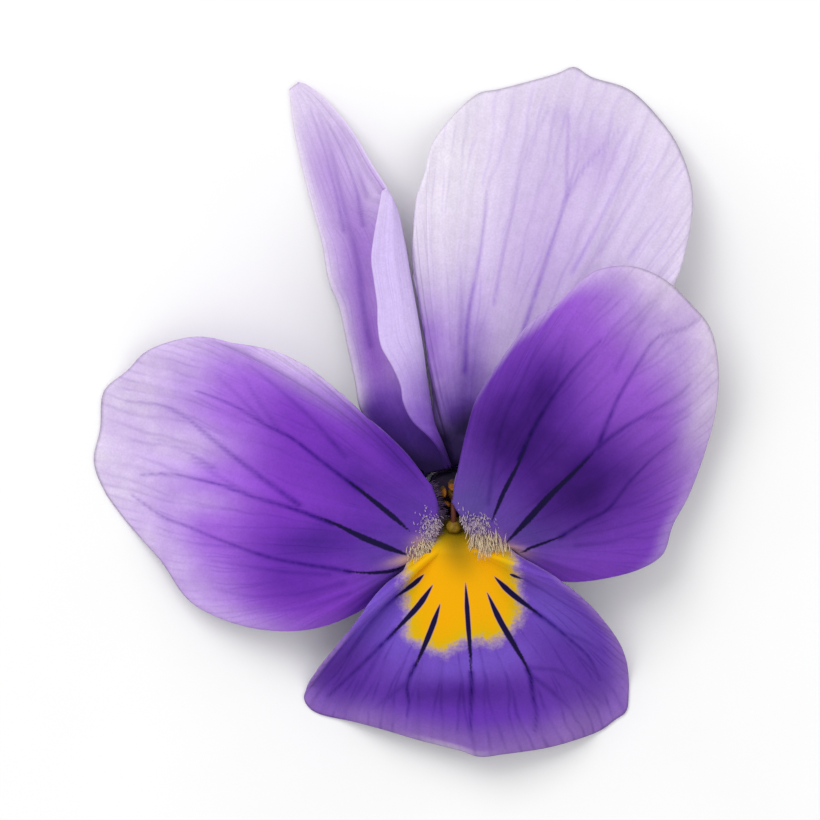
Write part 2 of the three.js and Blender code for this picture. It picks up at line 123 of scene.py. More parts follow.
# The rolled petal: its left margin, the fold down its right side and the free edge of the strip
# that is folded over, each from the base towards the tip. The strip ends where it meets the fold.
ROLL = {
    "claw": 126, "ring": 1.3,
    "reach": 1.85, "rise": 0.85, "strip_end": 0.66,
    "left": [
        (0.75, -2.35, 3.3), (-0.05, -1.85, 3.1), (-0.95, -0.9, 2.6), (-1.8, 0, 2), (-2.05, 1.2, 1.6),
        (-2.35, 2.6, 1.3), (-2.7, 4.2, 1), (-3.1, 5.2, 0.8), (-3.4, 6.85, 0.55), (-3.85, 8.45, 0.35),
        (-4.5, 11.25, 0.05), (-4.7, 12.95, -0.1),
    ],
    "fold": [
        (1.8, -2.3, 3.9), (1.65, -1.9, 4), (1.4, -1.25, 4.1), (1.1, -0.55, 4.1), (0.78, 1.2, 4.1),
        (0.62, 2.45, 4), (0.37, 3.95, 3.8), (0.12, 5.35, 3.5), (-0.14, 6.85, 3.1), (-0.5, 8.3, 2.6),
        (-1.44, 9.9, 1.75), (-2.24, 11.25, 1.1), (-3.45, 12.65, 0.4), (-4.3, 13.25, 0.05),
    ],
    "strip": [
        (1.75, -2.3), (1.55, -1.9), (1.05, -1.16), (0.24, -0.38), (-0.13, 0.38), (-0.22, 0.98),
        (-0.56, 1.78), (-1, 2.58), (-1.14, 3.42), (-1.16, 4.22), (-1.3, 5.26), (-1.4, 6.06),
        (-1.32, 6.86), (-1.1, 8.1), (-0.98, 8.86),
    ],
}


# Curves and surfaces

def smooth_line(points, per_span=24):
    """A smooth curve through the points, as a dense row of points.

    Between two points the curve is a cubic, blended from the straight lines through its four
    nearest points, whose knots are spaced by the square root of the distance between them.
    """
    p = np.array(points, float)
    p = np.vstack([2 * p[0] - p[1], p, 2 * p[-1] - p[-2]])
    knot = np.concatenate([[0], np.cumsum(np.linalg.norm(np.diff(p, axis=0), axis=1) ** 0.5)])
    spans = []
    for i in range(1, len(p) - 2):
        t = np.linspace(knot[i], knot[i + 1], per_span, endpoint=False)[:, None]
        k0, k1, k2, k3 = knot[i - 1:i + 3]
        a1 = ((k1 - t) * p[i - 1] + (t - k0) * p[i]) / (k1 - k0)
        a2 = ((k2 - t) * p[i] + (t - k1) * p[i + 1]) / (k2 - k1)
        a3 = ((k3 - t) * p[i + 1] + (t - k2) * p[i + 2]) / (k3 - k2)
        b1 = ((k2 - t) * a1 + (t - k0) * a2) / (k2 - k0)
        b2 = ((k3 - t) * a2 + (t - k1) * a3) / (k3 - k1)
        spans.append(((k2 - t) * b1 + (t - k1) * b2) / (k2 - k1))
    return np.vstack(spans + [p[-2:-1]])


def at_share(line, share):
    """The points of a dense line at shares of its length, from 0 to 1."""
    steps = np.linalg.norm(np.diff(line, axis=0), axis=1)
    length = np.concatenate([[0], np.cumsum(steps)])
    share = np.asarray(share) * length[-1]
    return np.stack([np.interp(share, length, line[:, k]) for k in range(line.shape[1])], axis=-1)


def fade(value, start, end):
    """0 before start, 1 past end, and a smooth step between them. The end may be the lower one."""
    t = np.clip((value - start) / (end - start), 0, 1)
    return t * t * (3 - 2 * t)


def dab(x, y, at, size, turn=0.0):
    """A soft oval spot: 1 at its middle, falling off as a bell curve, turned by some degrees."""
    c, s = np.cos(np.radians(turn)), np.sin(np.radians(turn))
    along = ((x - at[0]) * c + (y - at[1]) * s) / size[0]
    across = ((y - at[1]) * c - (x - at[0]) * s) / size[1]
    return np.exp(-(along ** 2) - across ** 2)


def either(*masks):
    """Masks laid over each other: each covers its share of what the others leave."""
    left = 1.0
    for mask in masks:
        left = left * (1 - np.clip(mask, 0, 1))
    return 1 - left


def lie_down(z):
    """Heights below the surface bend smoothly to lie on it: half of z plus its rounded size."""
    return (z + np.sqrt(z * z + LIE * LIE)) / 2


def claw_foot(shape, across):
    """Where a petal's claw stands: an arc of a circle round the cup."""
    turn = np.radians(shape["claw"] + CLAW_SPREAD * (2 * across - 1))
    x = CUP[0] + shape["ring"] * np.cos(turn)
    y = CUP[1] + shape["ring"] * np.sin(turn)
    return np.stack([x, y, np.full_like(x, CLAW_FOOT)], axis=-1)


def spread_petal(shape, relief):
    """A spread petal as a function of along and across, each from 0 to 1.

    Each vein starts at the claw's foot, climbs to the throat line by a smooth step, and runs on to
    the rim in a straight line that an arch lifts and a bow bends sideways. relief(across, out)
    adds the height of pleats and waves.
    """
    throat = smooth_line(shape["throat"])
    rim = smooth_line(shape["rim"])

    def surface(along, across):
        foot = claw_foot(shape, across)
        edge = at_share(throat, across)
        run = at_share(rim, across) - edge
        climb = fade(along, 0, CLAW_TOP)
        lean = climb ** CLAW_LEAN
        out = np.clip((along - BLADE_START) / (1 - BLADE_START), 0, 1) ** BLADE_EASE
        inside = (4 * across * (1 - across)) ** 2
        bulge = -shape["bow"] * np.sin(2 * np.pi * across) * inside * 4 * out * (1 - out)
        crown = shape["arch"] * np.linalg.norm(run, axis=-1) * np.sin(np.pi * out)
        x = foot[..., 0] + (edge - foot)[..., 0] * lean + run[..., 0] * out - run[..., 1] * bulge
        y = foot[..., 1] + (edge - foot)[..., 1] * lean + run[..., 1] * out + run[..., 0] * bulge
        z = foot[..., 2] + (edge - foot)[..., 2] * climb + run[..., 2] * out + crown
        z = z + relief(across, out)
        return np.stack([x, y, lie_down(z - LIE / 2) + PETAL_THICKNESS / 2], axis=-1)

    return surface


def rolled_petal(relief):
    """The rolled petal as a function of along and across.

    Its section is a hook: a quarter wave from the left margin up to the upright fold, then part
    of a quarter ellipse from the fold back over as the strip. across starts at the strip's edge.
    """
    left_line, fold_line = smooth_line(ROLL["left"]), smooth_line(ROLL["fold"])
    strip_line = smooth_line(ROLL["strip"])

    def section(out, across):
        left, fold = at_share(left_line, out), at_share(fold_line, out)
        strip = at_share(strip_line, np.minimum(1, out / ROLL["strip_end"]))
        width = np.hypot(strip[..., 0] - fold[..., 0], strip[..., 1] - fold[..., 1])
        width = width * fade(out, ROLL["strip_end"] + 0.002, ROLL["strip_end"] - 0.06)
        most = np.arccos(1 - np.minimum(1, width / ROLL["reach"]))
        turn = (1 - across) * (np.pi / 2 + most)
        past = np.clip(turn - np.pi / 2, 0, None)
        wall = np.sin(np.minimum(turn, np.pi / 2))
        share = (1 - np.cos(past)) / np.maximum(1 - np.cos(most), 1e-6)
        base = left[..., :2] + (fold[..., :2] - left[..., :2]) * wall[..., None]
        place = base + (strip - fold[..., :2]) * share[..., None]
        height = left[..., 2] + (fold - left)[..., 2] * np.minimum(turn, np.pi / 2) / (np.pi / 2)
        return np.dstack([place, height + ROLL["rise"] * np.sin(past)])

    def surface(along, across):
        foot = claw_foot(ROLL, across)
        out = np.clip((along - BLADE_START) / (1 - BLADE_START), 0, 1)
        held = (1 - fade(along, 0, CLAW_TOP))[..., None]
        p = section(out, across) + (foot - section(0 * out, across)) * held
        p[..., 2] = lie_down(p[..., 2] + relief(across, out) - LIE / 2) + PETAL_THICKNESS / 2
        return p

    return surface


# Distances, for markings

def stroke_distance(x, y, points, width):
    """How far each place lies from a tapering stroke, in millimetres, less than 0 inside it.

    width(share) is the stroke's half width at a share of its length.
    """
    line = smooth_line(points, 10)
    a, step = line[:-1], np.diff(line, axis=0)
    length = np.concatenate([[0], np.cumsum(np.linalg.norm(step, axis=1))])
    best = np.full(x.shape, np.inf)
    for k in range(len(a)):
        dx, dy = x - a[k, 0], y - a[k, 1]
        size = step[k] @ step[k]
        t = np.clip((dx * step[k, 0] + dy * step[k, 1]) / size, 0, 1)
        gap = np.hypot(dx - t * step[k, 0], dy - t * step[k, 1])
        share = (length[k] + t * (length[k + 1] - length[k])) / length[-1]
        best = np.minimum(best, gap - width(share))
    return best


def inside_distance(x, y, outline):
    """How far inside a closed smooth outline each place lies, in millimetres, less than 0 outside."""
    line = smooth_line(list(outline) + [outline[0]], 8)
    nearest = np.full(x.shape, np.inf)
    inside = np.zeros(x.shape, bool)
    for a, b in zip(line[:-1], line[1:]):
        step = b - a
        t = np.clip(((x - a[0]) * step[0] + (y - a[1]) * step[1]) / max(step @ step, 1e-12), 0, 1)
        nearest = np.minimum(nearest, np.hypot(x - a[0] - t * step[0], y - a[1] - t * step[1]))
        crosses = (a[1] > y) != (b[1] > y)
        rise = step[1] if step[1] else 1.0
        inside ^= crosses & (x < a[0] + (y - a[1]) * step[0] / rise)
    return np.where(inside, nearest, -nearest)


def guides(x, y, strokes):
    """The distance from the nearest of several dark guide lines, each (points, half width).

    A guide line is pointed at the throat and thins out into its vein at the other end.
    """
    best = np.full(x.shape, 9.0)
    for points, half in strokes:
        def taper(share, half=half):
            return half * np.clip(4 * share, 0, 1) ** 0.7 * np.clip(1.9 * (1 - share), 0, 1) ** 0.8

        best = np.minimum(best, stroke_distance(x, y, points, taper))
    return best


def veins(x, y, strokes):
    """A mask of soft veins, each (points, half width, strength), which thin out along their run.

    A strength above 1 turns the start of a vein into the end of its dark guide line.
    """
    mask = np.zeros(x.shape)
    for points, half, strength in strokes:
        ends = np.array(points)[[0, -1]]
        run = np.hypot(*(ends[1] - ends[0]))
        share = np.clip(np.hypot(x - ends[0, 0], y - ends[0, 1]) / run, 0, 1)
        gap = stroke_distance(x, y, points, lambda s: 0 * s)
        soft = np.exp(-((gap / (half * (1.25 - 0.6 * share))) ** 2))
        mask = np.maximum(mask, strength * (1 - 0.55 * share) * soft)
    return mask


# Meshes

def make_mesh(name, parts, smooth=True):
    """A mesh object from one or more closed shapes, each (points in millimetres, faces, marks).

    Every mark has one value, or one row of four values, for each point. The mark "uv" becomes the
    UV map.
    """
    start, faces = 0, []
    for points, shape_faces, _ in parts:
        faces += [[int(i) + start for i in face] for face in shape_faces]
        start += len(points)
    mesh = bpy.data.meshes.new(name)
    mesh.from_pydata((np.vstack([points for points, _, _ in parts]) * MM).tolist(), [], faces)
    for key in parts[0][2]:
        value = np.concatenate([marks[key] for _, _, marks in parts]).astype(np.float32)
        if key == "uv":
            corner = np.empty(len(mesh.loops), np.int32)
            mesh.loops.foreach_get("vertex_index", corner)
            mesh.uv_layers.new(name="petal").data.foreach_set("uv", value[corner].ravel())
        elif value.ndim == 1:
            mesh.attributes.new(key, "FLOAT", "POINT").data.foreach_set("value", value)
        else:
            mesh.attributes.new(key, "FLOAT_COLOR", "POINT").data.foreach_set("color", value.ravel())
    mesh.polygons.foreach_set("use_smooth", np.full(len(mesh.polygons), smooth))
    mesh.update()
    piece = bpy.data.objects.new(name, mesh)
    bpy.context.scene.collection.objects.link(piece)
    return piece


def finish(piece, node, material):
    """Gives a piece its material, hangs it on the root body and hides the CAD node that it stands for."""
    piece.data.materials.append(material)
    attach(piece, "root")
    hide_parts(node)
    return piece


def grid_faces(index):
    """The four-sided faces of a grid of point numbers."""
    return np.stack([index[:-1, :-1], index[1:, :-1], index[1:, 1:], index[:-1, 1:]], -1).reshape(-1, 4)


def sheet_shape(surface, rows, columns, thickness, paint=None):
    """A closed sheet round a surface: an upper and a lower skin that share their margin.

    The half thickness follows a quarter sine wave from 0 at the margin to its full size a little
    way in. paint(x, y, out, across) gives the marks, and the mark "under" is 1 on the lower skin.
    """
    along, across = np.meshgrid(np.linspace(0, 1, rows), np.linspace(0, 1, columns), indexing="ij")
    middle = surface(along, across)
    normal = np.cross(np.gradient(middle, axis=0), np.gradient(middle, axis=1))
    normal /= np.maximum(np.linalg.norm(normal, axis=2, keepdims=True), 1e-12)
    edge = np.minimum.reduce([across, 1 - across, 1 - along])
    half = thickness / 2 * np.sin(np.pi / 2 * np.clip(edge / RIM_ROUND, 0, 1))[..., None]
    upper = (middle + normal * half).reshape(-1, 3)
    inner = (slice(1, -1), slice(1, -1))
    lower = (middle - normal * half)[inner].reshape(-1, 3)
    lower[:, 2] = np.maximum(lower[:, 2], LOWEST)
    top = np.arange(rows * columns).reshape(rows, columns)
    bottom = top.copy()
    bottom[inner] = rows * columns + np.arange(len(lower)).reshape(rows - 2, columns - 2)
    faces = np.vstack([grid_faces(top), grid_faces(bottom)[:, ::-1]])

    def both(value):
        return np.concatenate([value.ravel(), value[inner].ravel()])

    marks = {"uv": np.stack([both(across), both(along)], -1)}
    marks["under"] = np.concatenate([np.zeros(len(upper)), np.ones(len(lower))])
    if paint:
        out = np.clip((along - BLADE_START) / (1 - BLADE_START), 0, 1)
        for key, value in paint(middle[..., 0], middle[..., 1], out, across).items():
            flat = value.ndim == 2
            marks[key] = both(value) if flat else np.stack([both(value[..., k]) for k in range(4)], -1)
    return np.vstack([upper, lower]), faces.tolist(), marks


def ring_shape(rings, marks=None):
    """A closed shape from rings of points, with a fan to a point at each end.

    The rings turn counterclockwise as seen from the far end.
    """
    steps, sides = rings.shape[:2]
    points = np.vstack([rings.reshape(-1, 3), rings[0].mean(0), rings[-1].mean(0)])
    points[:, 2] = np.maximum(points[:, 2], LOWEST)
    index = np.arange(steps * sides).reshape(steps, sides)
    index = np.hstack([index, index[:, :1]])
    faces = grid_faces(index)[:, ::-1].tolist()
    first, last = steps * sides, steps * sides + 1
    faces += [[first, index[0, k + 1], index[0, k]] for k in range(sides)]
    faces += [[last, index[-1, k], index[-1, k + 1]] for k in range(sides)]
    way = np.repeat(np.linspace(0, 1, steps), sides)
    turn = np.tile(np.linspace(0, 1, sides, endpoint=False), steps)
    basic = {"way": np.append(way, [0, 1]), "turn": np.append(turn, [0, 0])}
    return points, faces, basic | (marks or {})


def tube_rings(path, radius, steps, sides, side=(1, 0, 0)):
    """Rings of points round a smooth path. radius(share, turn) gives each point's distance from
    the path, and side is a direction that the path never runs along."""
    share = np.linspace(0, 1, steps)[:, None]
    line = at_share(smooth_line(path), share[:, 0])
    ahead = np.gradient(line, axis=0)
    ahead /= np.linalg.norm(ahead, axis=1, keepdims=True)
    first = np.cross(side, ahead)
    first /= np.linalg.norm(first, axis=1, keepdims=True)
    second = np.cross(ahead, first)
    turn = np.linspace(0, 2 * np.pi, sides, endpoint=False)[None, :]
    size = (radius(share, turn) + 0 * share * turn)[..., None]
    turn = turn[..., None]
    return line[:, None] + size * (first[:, None] * np.cos(turn) + second[:, None] * np.sin(turn))


def dome_end(share, start, end=1.0):
    """How a tube's radius rounds off between two shares of its length, as a quarter circle."""
    return np.sqrt(np.clip(1 - np.clip((share - start) / (end - start), 0, 1) ** 2, 0, 1))


# Node helpers

class Nodes:
    """Short calls that add a node to a tree and join its inputs, given as sockets or values."""

    def __init__(self, tree):
        self.tree = tree

    def add(self, kind, inputs=(), **settings):
        node = self.tree.nodes.new(kind)
        for key, value in settings.items():
            setattr(node, key, value)
        for key, value in dict(inputs).items():
            self.join(node.inputs[key], value)
        return node

    def join(self, socket, value):
        if isinstance(value, bpy.types.NodeSocket):
            self.tree.links.new(value, socket)
        else:
            socket.default_value = value

    def attribute(self, name, output="Fac"):
        return self.add("ShaderNodeAttribute", attribute_name=name).outputs[output]

    def mix(self, share, a, b, blend="MIX"):
        return self.add("ShaderNodeMix", {0: share, 6: a, 7: b}, data_type="RGBA",
                        blend_type=blend).outputs[2]

    def math(self, operation, a, b=0.0, clamp=False):
        return self.add("ShaderNodeMath", {0: a, 1: b}, operation=operation, use_clamp=clamp).outputs[0]

    def ramp(self, value, start, end, low=0.0, high=1.0):
        inputs = {0: value, 1: start, 2: end, 3: low, 4: high}
        return self.add("ShaderNodeMapRange", inputs, interpolation_type="SMOOTHSTEP").outputs[0]

    def place(self, scale=(1, 1, 1)):
        source = self.add("ShaderNodeTexCoord").outputs["Object"]
        return self.add("ShaderNodeMapping", {"Vector": source, "Scale": scale}).outputs[0]

    def noise(self, vector, scale, detail=2.0, roughness=0.5):
        inputs = {"Vector": vector, "Scale": scale, "Detail": detail, "Roughness": roughness}
        return self.add("ShaderNodeTexNoise", inputs).outputs["Fac"]


def colour(text):
    """A colour written as rrggbb, as the linear values that the nodes take."""
    srgb = np.array([int(text[i:i + 2], 16) for i in (0, 2, 4)]) / 255
    linear = np.where(srgb <= 0.04045, srgb / 12.92, ((srgb + 0.055) / 1.055) ** 2.4)
    return (*linear.tolist(), 1.0)


def new_group(name, inputs, outputs):
    tree = bpy.data.node_groups.new(name, "ShaderNodeTree")
    for label, kind in inputs:
        tree.interface.new_socket(name=label, in_out="INPUT", socket_type=kind)
    for label, kind in outputs:
        tree.interface.new_socket(name=label, in_out="OUTPUT", socket_type=kind)
    n = Nodes(tree)
    return tree, n, n.add("NodeGroupInput").outputs, n.add("NodeGroupOutput")


def veinlet_group():
    """Fine veins that fan out with the petal and fork twice on their way to the rim.

    Counted across the petal, w is the place between two neighbouring veins. A vein runs at
    w = 0.5, its two children at 0.5 + 0.25 g and 0.5 - 0.25 g, and theirs at half of that again,
    where each g rises from 0 to 1 along the petal.
    """
    inputs = [("Count", "NodeSocketFloat"), ("Wander", "NodeSocketFloat"), ("Width", "NodeSocketFloat")]
    tree, n, given, result = new_group("petal veinlets", inputs, [("Lines", "NodeSocketFloat")])
    place = n.add("ShaderNodeUVMap", uv_map="petal").outputs[0]
    split = n.add("ShaderNodeSeparateXYZ", {0: place})
    across, along = split.outputs[0], split.outputs[1]
    drift = n.math("SUBTRACT", n.noise(n.place(), 300.0, 2.0), 0.5)
    shifted = n.math("ADD", n.math("MULTIPLY", across, given["Count"]),
                     n.math("MULTIPLY", drift, given["Wander"]))
    gap = n.math("ABSOLUTE", n.math("SUBTRACT", n.math("FRACT", shifted), 0.5))
    child = n.math("ABSOLUTE", n.math("SUBTRACT", gap, n.ramp(along, 0.3, 0.8, 0.0, 0.25)))
    grandchild = n.math("ABSOLUTE", n.math("SUBTRACT", child, n.ramp(along, 0.68, 1.0, 0.0, 0.125)))
    lines = n.ramp(grandchild, given["Width"], 0.0)
    come_and_go = n.ramp(n.noise(n.place(), 650.0, 2.0), 0.38, 0.62, 0.25, 1.0)
    lines = n.math("MULTIPLY", lines, come_and_go)
    n.join(result.inputs["Lines"], n.math("MULTIPLY", lines, n.ramp(along, 0.16, 0.4)))
    return tree


def petal_group():
    """Petal paint: six tones over a ground, veins that darken what is under them, guide lines,
    a paler underside, fine mottling, and the relief of veins and cells. A vein mask above 0.9 also
    turns towards the colour of the guide lines."""
    names = ["Ground", "Mid", "Pale", "Base", "Deep", "Dark", "Blush", "Vein", "Guide", "Under"]
    inputs = [(c, "NodeSocketColor") for c in names]
    inputs += [("Lines", "NodeSocketFloat"), ("Vein Strength", "NodeSocketFloat")]
    inputs += [("Under Share", "NodeSocketFloat")]
    outputs = [("Color", "NodeSocketColor"), ("Normal", "NodeSocketVector"),
               ("Roughness", "NodeSocketFloat")]
    tree, n, given, result = new_group("petal paint", inputs, outputs)
    tones = n.add("ShaderNodeAttribute", attribute_name="tones")
    split = n.add("ShaderNodeSeparateColor", {0: tones.outputs["Color"]})
    place = n.place()
    own = n.add("ShaderNodeUVMap", uv_map="petal").outputs[0]
    soft = n.noise(place, 700.0, 3.0, 0.6)
    cells = n.noise(place, 11000.0, 2.0, 0.6)
    blot = n.noise(place, 2600.0, 3.0, 0.6)
    turned = n.math("MULTIPLY", n.attribute("under"), given["Under Share"])
    shade = n.mix(turned, given["Ground"], given["Under"])
    masks = [split.outputs[0], split.outputs[1], split.outputs[2], tones.outputs["Alpha"]]
    masks += [n.attribute("dark"), n.attribute("blush")]
    for name, mask in zip(["Mid", "Pale", "Base", "Deep", "Dark", "Blush"], masks):
        uneven = n.math("MULTIPLY", mask, n.ramp(soft, 0.25, 0.75, 0.86, 1.14), clamp=True)
        shade = n.mix(uneven, shade, given[name])
    vein = n.math("MAXIMUM", n.attribute("vein"), given["Lines"])
    vein = n.math("MULTIPLY", vein, given["Vein Strength"])
    vein = n.math("MULTIPLY", vein, n.ramp(blot, 0.25, 0.75, 0.7, 1.25), clamp=True)
    shade = n.mix(vein, shade, n.mix(1.0, shade, given["Vein"], "MULTIPLY"))
    frayed = n.math("ADD", n.attribute("guide"), n.ramp(cells, 0.25, 0.75, -0.012, 0.012))
    lit = n.math("MAXIMUM", n.ramp(frayed, 0.04, -0.03), n.ramp(n.attribute("vein"), 0.9, 1.7, 0.0, 0.9))
    lit = n.math("MULTIPLY", lit, n.math("SUBTRACT", 1.0, n.attribute("under")))
    shade = n.mix(lit, shade, given["Guide"])
    drawn_out = n.add("ShaderNodeMapping", {"Vector": own, "Scale": (70, 2.5, 1)}).outputs[0]
    streaks = n.noise(drawn_out, 1.0, 3.0)
    value = n.math("MULTIPLY", n.ramp(cells, 0.2, 0.8, 0.94, 1.06), n.ramp(blot, 0.2, 0.8, 0.96, 1.04))
    value = n.math("MULTIPLY", value, n.ramp(streaks, 0.25, 0.75, 0.95, 1.05))
    grey = n.add("ShaderNodeCombineColor", {0: value, 1: value, 2: value}).outputs[0]
    shade = n.mix(1.0, shade, grey, "MULTIPLY")
    height = n.math("SUBTRACT", n.math("MULTIPLY", cells, 0.5), n.math("MULTIPLY", vein, 0.8))
    bump = n.add("ShaderNodeBump", {"Strength": 0.4, "Distance": 0.00002, "Height": height})
    n.join(result.inputs["Color"], shade)
    n.join(result.inputs["Normal"], bump.outputs[0])
    n.join(result.inputs["Roughness"], n.ramp(blot, 0.2, 0.8, 0.52, 0.64))
    return tree


VEINLETS = veinlet_group()
PETAL_PAINT = petal_group()


def new_material(name):
    material = bpy.data.materials.new(name)
    material.use_nodes = True
    return material, Nodes(material.node_tree), material.node_tree.nodes["Principled BSDF"]


def petal_material(name, tones, count, vein=0.8, under_share=0.85, lines=0.22):
    """A petal's finish from its tones by name. count is the number of fine veins at the throat.

    A petal without a blush or guide lines leaves those two tones out.
    """
    material, n, shader = new_material(name)
    fine = n.add("ShaderNodeGroup", node_tree=VEINLETS)
    fine.inputs["Count"].default_value = count
    fine.inputs["Wander"].default_value = 0.5
    fine.inputs["Width"].default_value = 0.06
    paint = n.add("ShaderNodeGroup", node_tree=PETAL_PAINT)
    for key, text in tones.items():
        paint.inputs[key].default_value = colour(text)
    paint.inputs["Vein Strength"].default_value = vein
    paint.inputs["Under Share"].default_value = under_share
    n.join(paint.inputs["Lines"], n.math("MULTIPLY", fine.outputs["Lines"], lines))
    n.join(shader.inputs["Base Color"], paint.outputs["Color"])
    n.join(shader.inputs["Normal"], paint.outputs["Normal"])
    n.join(shader.inputs["Roughness"], paint.outputs["Roughness"])
    shader.inputs["Specular IOR Level"].default_value = 0.06
    shader.inputs["Sheen Weight"].default_value = 0.02
    shader.inputs["Sheen Roughness"].default_value = 0.4
    return material, n, shader, paint.outputs["Color"]


def marks(vein, guide, dark, blush=0.0, **tones):
    """The marks that the petal paint reads. A tone that isn't given stays away."""
    names = ["mid", "pale", "base", "deep"]
    four = np.broadcast_arrays(*[tones.get(name, 0.0) + 0 * vein for name in names])
    clipped = np.clip(np.stack(four, -1), 0, 1)
    dark, blush = np.clip(dark + 0 * vein, 0, 1), np.clip(blush + 0 * vein, 0, 1)
    return {"tones": clipped, "vein": vein, "guide": guide + 0 * vein, "dark": dark, "blush": blush}


# Petals

ROWS, COLUMNS = 110, 330  # points along and across a spread petal
ROLL_ROWS, ROLL_COLUMNS = 200, 170
GUIDE = "160d38"


def waves(across, out, count, height, phase=0.0):
    """Soft pleats that fan out from the throat, growing towards the rim."""
    return height * np.cos(2 * np.pi * count * across + phase) * fade(out, 0.15, 0.8)


def left_petal(surface):
    strokes = [
        ([(0.2, -4.78), (-0.8, -3.94), (-1.8, -3.14), (-2.5, -2.6)], 0.1),
        ([(0.2, -5.74), (-0.84, -5.38), (-1.8, -4.98), (-2.76, -4.5), (-3.6, -4.15)], 0.12),
        ([(0.04, -6.02), (-0.52, -6.3), (-1.36, -6.42), (-2.56, -6.34)], 0.06),
    ]
    lines = [
        ([(-1.8, -3.14), (-3.36, -1.96), (-4.56, -1.04), (-5.52, -0.56), (-6.74, 0.18), (-8.4, 0.86)],
         0.08, 1.25),
        ([(-4.96, -0.86), (-5.76, 0.26), (-6.4, 1.26), (-6.96, 1.9)], 0.09, 0.5),
        ([(-5.52, -0.58), (-6.44, 0.38), (-7.64, 1.58)], 0.09, 0.5),
        ([(-2.44, -1.74), (-3.64, -0.38), (-4.92, 0.78), (-6.24, 1.9)], 0.1, 0.6),
        ([(-4.24, -3.74), (-5.84, -2.58), (-7.68, -1.14), (-8.8, -0.22), (-9.72, 0.24), (-11.24, 0.42)],
         0.1, 0.9),
        ([(-7.68, -2.26), (-9, -1.5), (-10.04, -1.06)], 0.08, 0.5),
        ([(-2.9, -4.48), (-4.32, -3.94), (-6.06, -3.42), (-7.68, -2.88), (-9.36, -2.54), (-10.64, -2.54)],
         0.08, 1.2),
        ([(-6.24, -3.36), (-7.6, -2.54), (-8.64, -1.9)], 0.09, 0.5),
        ([(-2.2, -6.38), (-3.84, -6.14), (-5.52, -5.82), (-7.32, -5.18), (-8.68, -4.62), (-9.72, -4.22),
          (-11, -3.34)], 0.08, 1.1),
        ([(-6.84, -5.42), (-8.04, -5.34), (-9.24, -5.14)], 0.08, 0.4),
        ([(-3.04, -6.5), (-4.8, -6.42), (-6.4, -6.18), (-7.76, -5.98)], 0.09, 0.5),
        ([(-2.44, -6.82), (-4.24, -7.26), (-6.24, -7.38), (-7.64, -7.06)], 0.09, 0.45),
        ([(-2.24, -7.22), (-3.84, -7.78), (-5.76, -8.06)], 0.09, 0.4),
    ]

    def paint(x, y, out, across):
        slanted = x - 0.15 * (y + 0.3)
        low_edge = dab(x, y, (-3.6, -8), (2.8, 1.4))
        far = fade(x, -1.2, -3.6)
        mid = either(0.8 * fade(slanted, -4.2, -7.4), 0.8 * far * fade(out, 0.62, 0.86))
        mid = mid * (1 - 0.8 * low_edge)
        rim = far * fade(out, 0.74, 1) * (1 - 0.95 * dab(x, y, (-3.2, -8.6), (3.2, 2)))
        pale = either(0.75 * fade(slanted, -7, -12.4), 0.5 * rim,
                      0.5 * dab(x, y, (-4.1, 1.6), (2.4, 0.7), -34),
                      0.4 * dab(x, y, (-8.4, -1.4), (1.4, 0.8)), 0.3 * dab(x, y, (-8.4, -3.6), (1.3, 0.6)),
                      0.25 * dab(x, y, (-9.6, -1.2), (1.6, 1.6)))
        base = either(0.95 * dab(x, y, (0.2, -4.3), (2.4, 1.6), 45),
                      0.9 * dab(x, y, (-0.9, -5.4), (2.3, 0.9)),
                      0.8 * dab(x, y, (-0.4, -6.9), (1.2, 1), 60))
        deep = either(0.95 * dab(x, y, (-3.6, -5.3), (2.8, 1.3), 10),
                      0.75 * dab(x, y, (-2, -2.9), (3.2, 1.4), -40),
                      0.6 * dab(x, y, (-4.4, -6.8), (1.8, 0.9)),
                      0.85 * dab(x, y, (-0.3, -1.7), (2.2, 0.9), -50))
        dark = either(0.55 * dab(x, y, (-3.4, -5.2), (1.5, 0.6), 10),
                      0.55 * dab(x, y, (-1.2, -3), (1.6, 0.7), -40),
                      0.35 * dab(x, y, (0.1, -2.1), (1.8, 0.6), -52))
        blush = either(0.7 * dab(x, y, (0.75, -5.3), (0.5, 0.35)),
                       0.75 * dab(x, y, (0.1, -5.85), (0.8, 0.2), 15))
        return marks(veins(x, y, lines), guides(x, y, strokes), dark, blush, mid=mid, pale=pale,
                     base=base, deep=deep)

    shape = sheet_shape(surface, ROWS, COLUMNS, PETAL_THICKNESS, paint)
    tones = {
        "Ground": "7f3bbf", "Mid": "a468db", "Pale": "dccee8", "Base": "573e94", "Deep": "5a269e",
        "Dark": "3f1f7c", "Blush": "c9a08a", "Vein": "7c58b4", "Guide": GUIDE,
        "Under": "b59ad2",
    }
    material = petal_material("left_petal", tones, 17)[0]
    return finish(make_mesh("left_petal", [shape]), "petal_left", material)


def left_relief(across, out):
    pleats = waves(across, out, 7, 0.05, 1.0) + waves(across, out, 19, 0.02)
    return pleats + 0.1 * np.sin(2 * np.pi * 5.5 * across) * out ** 6


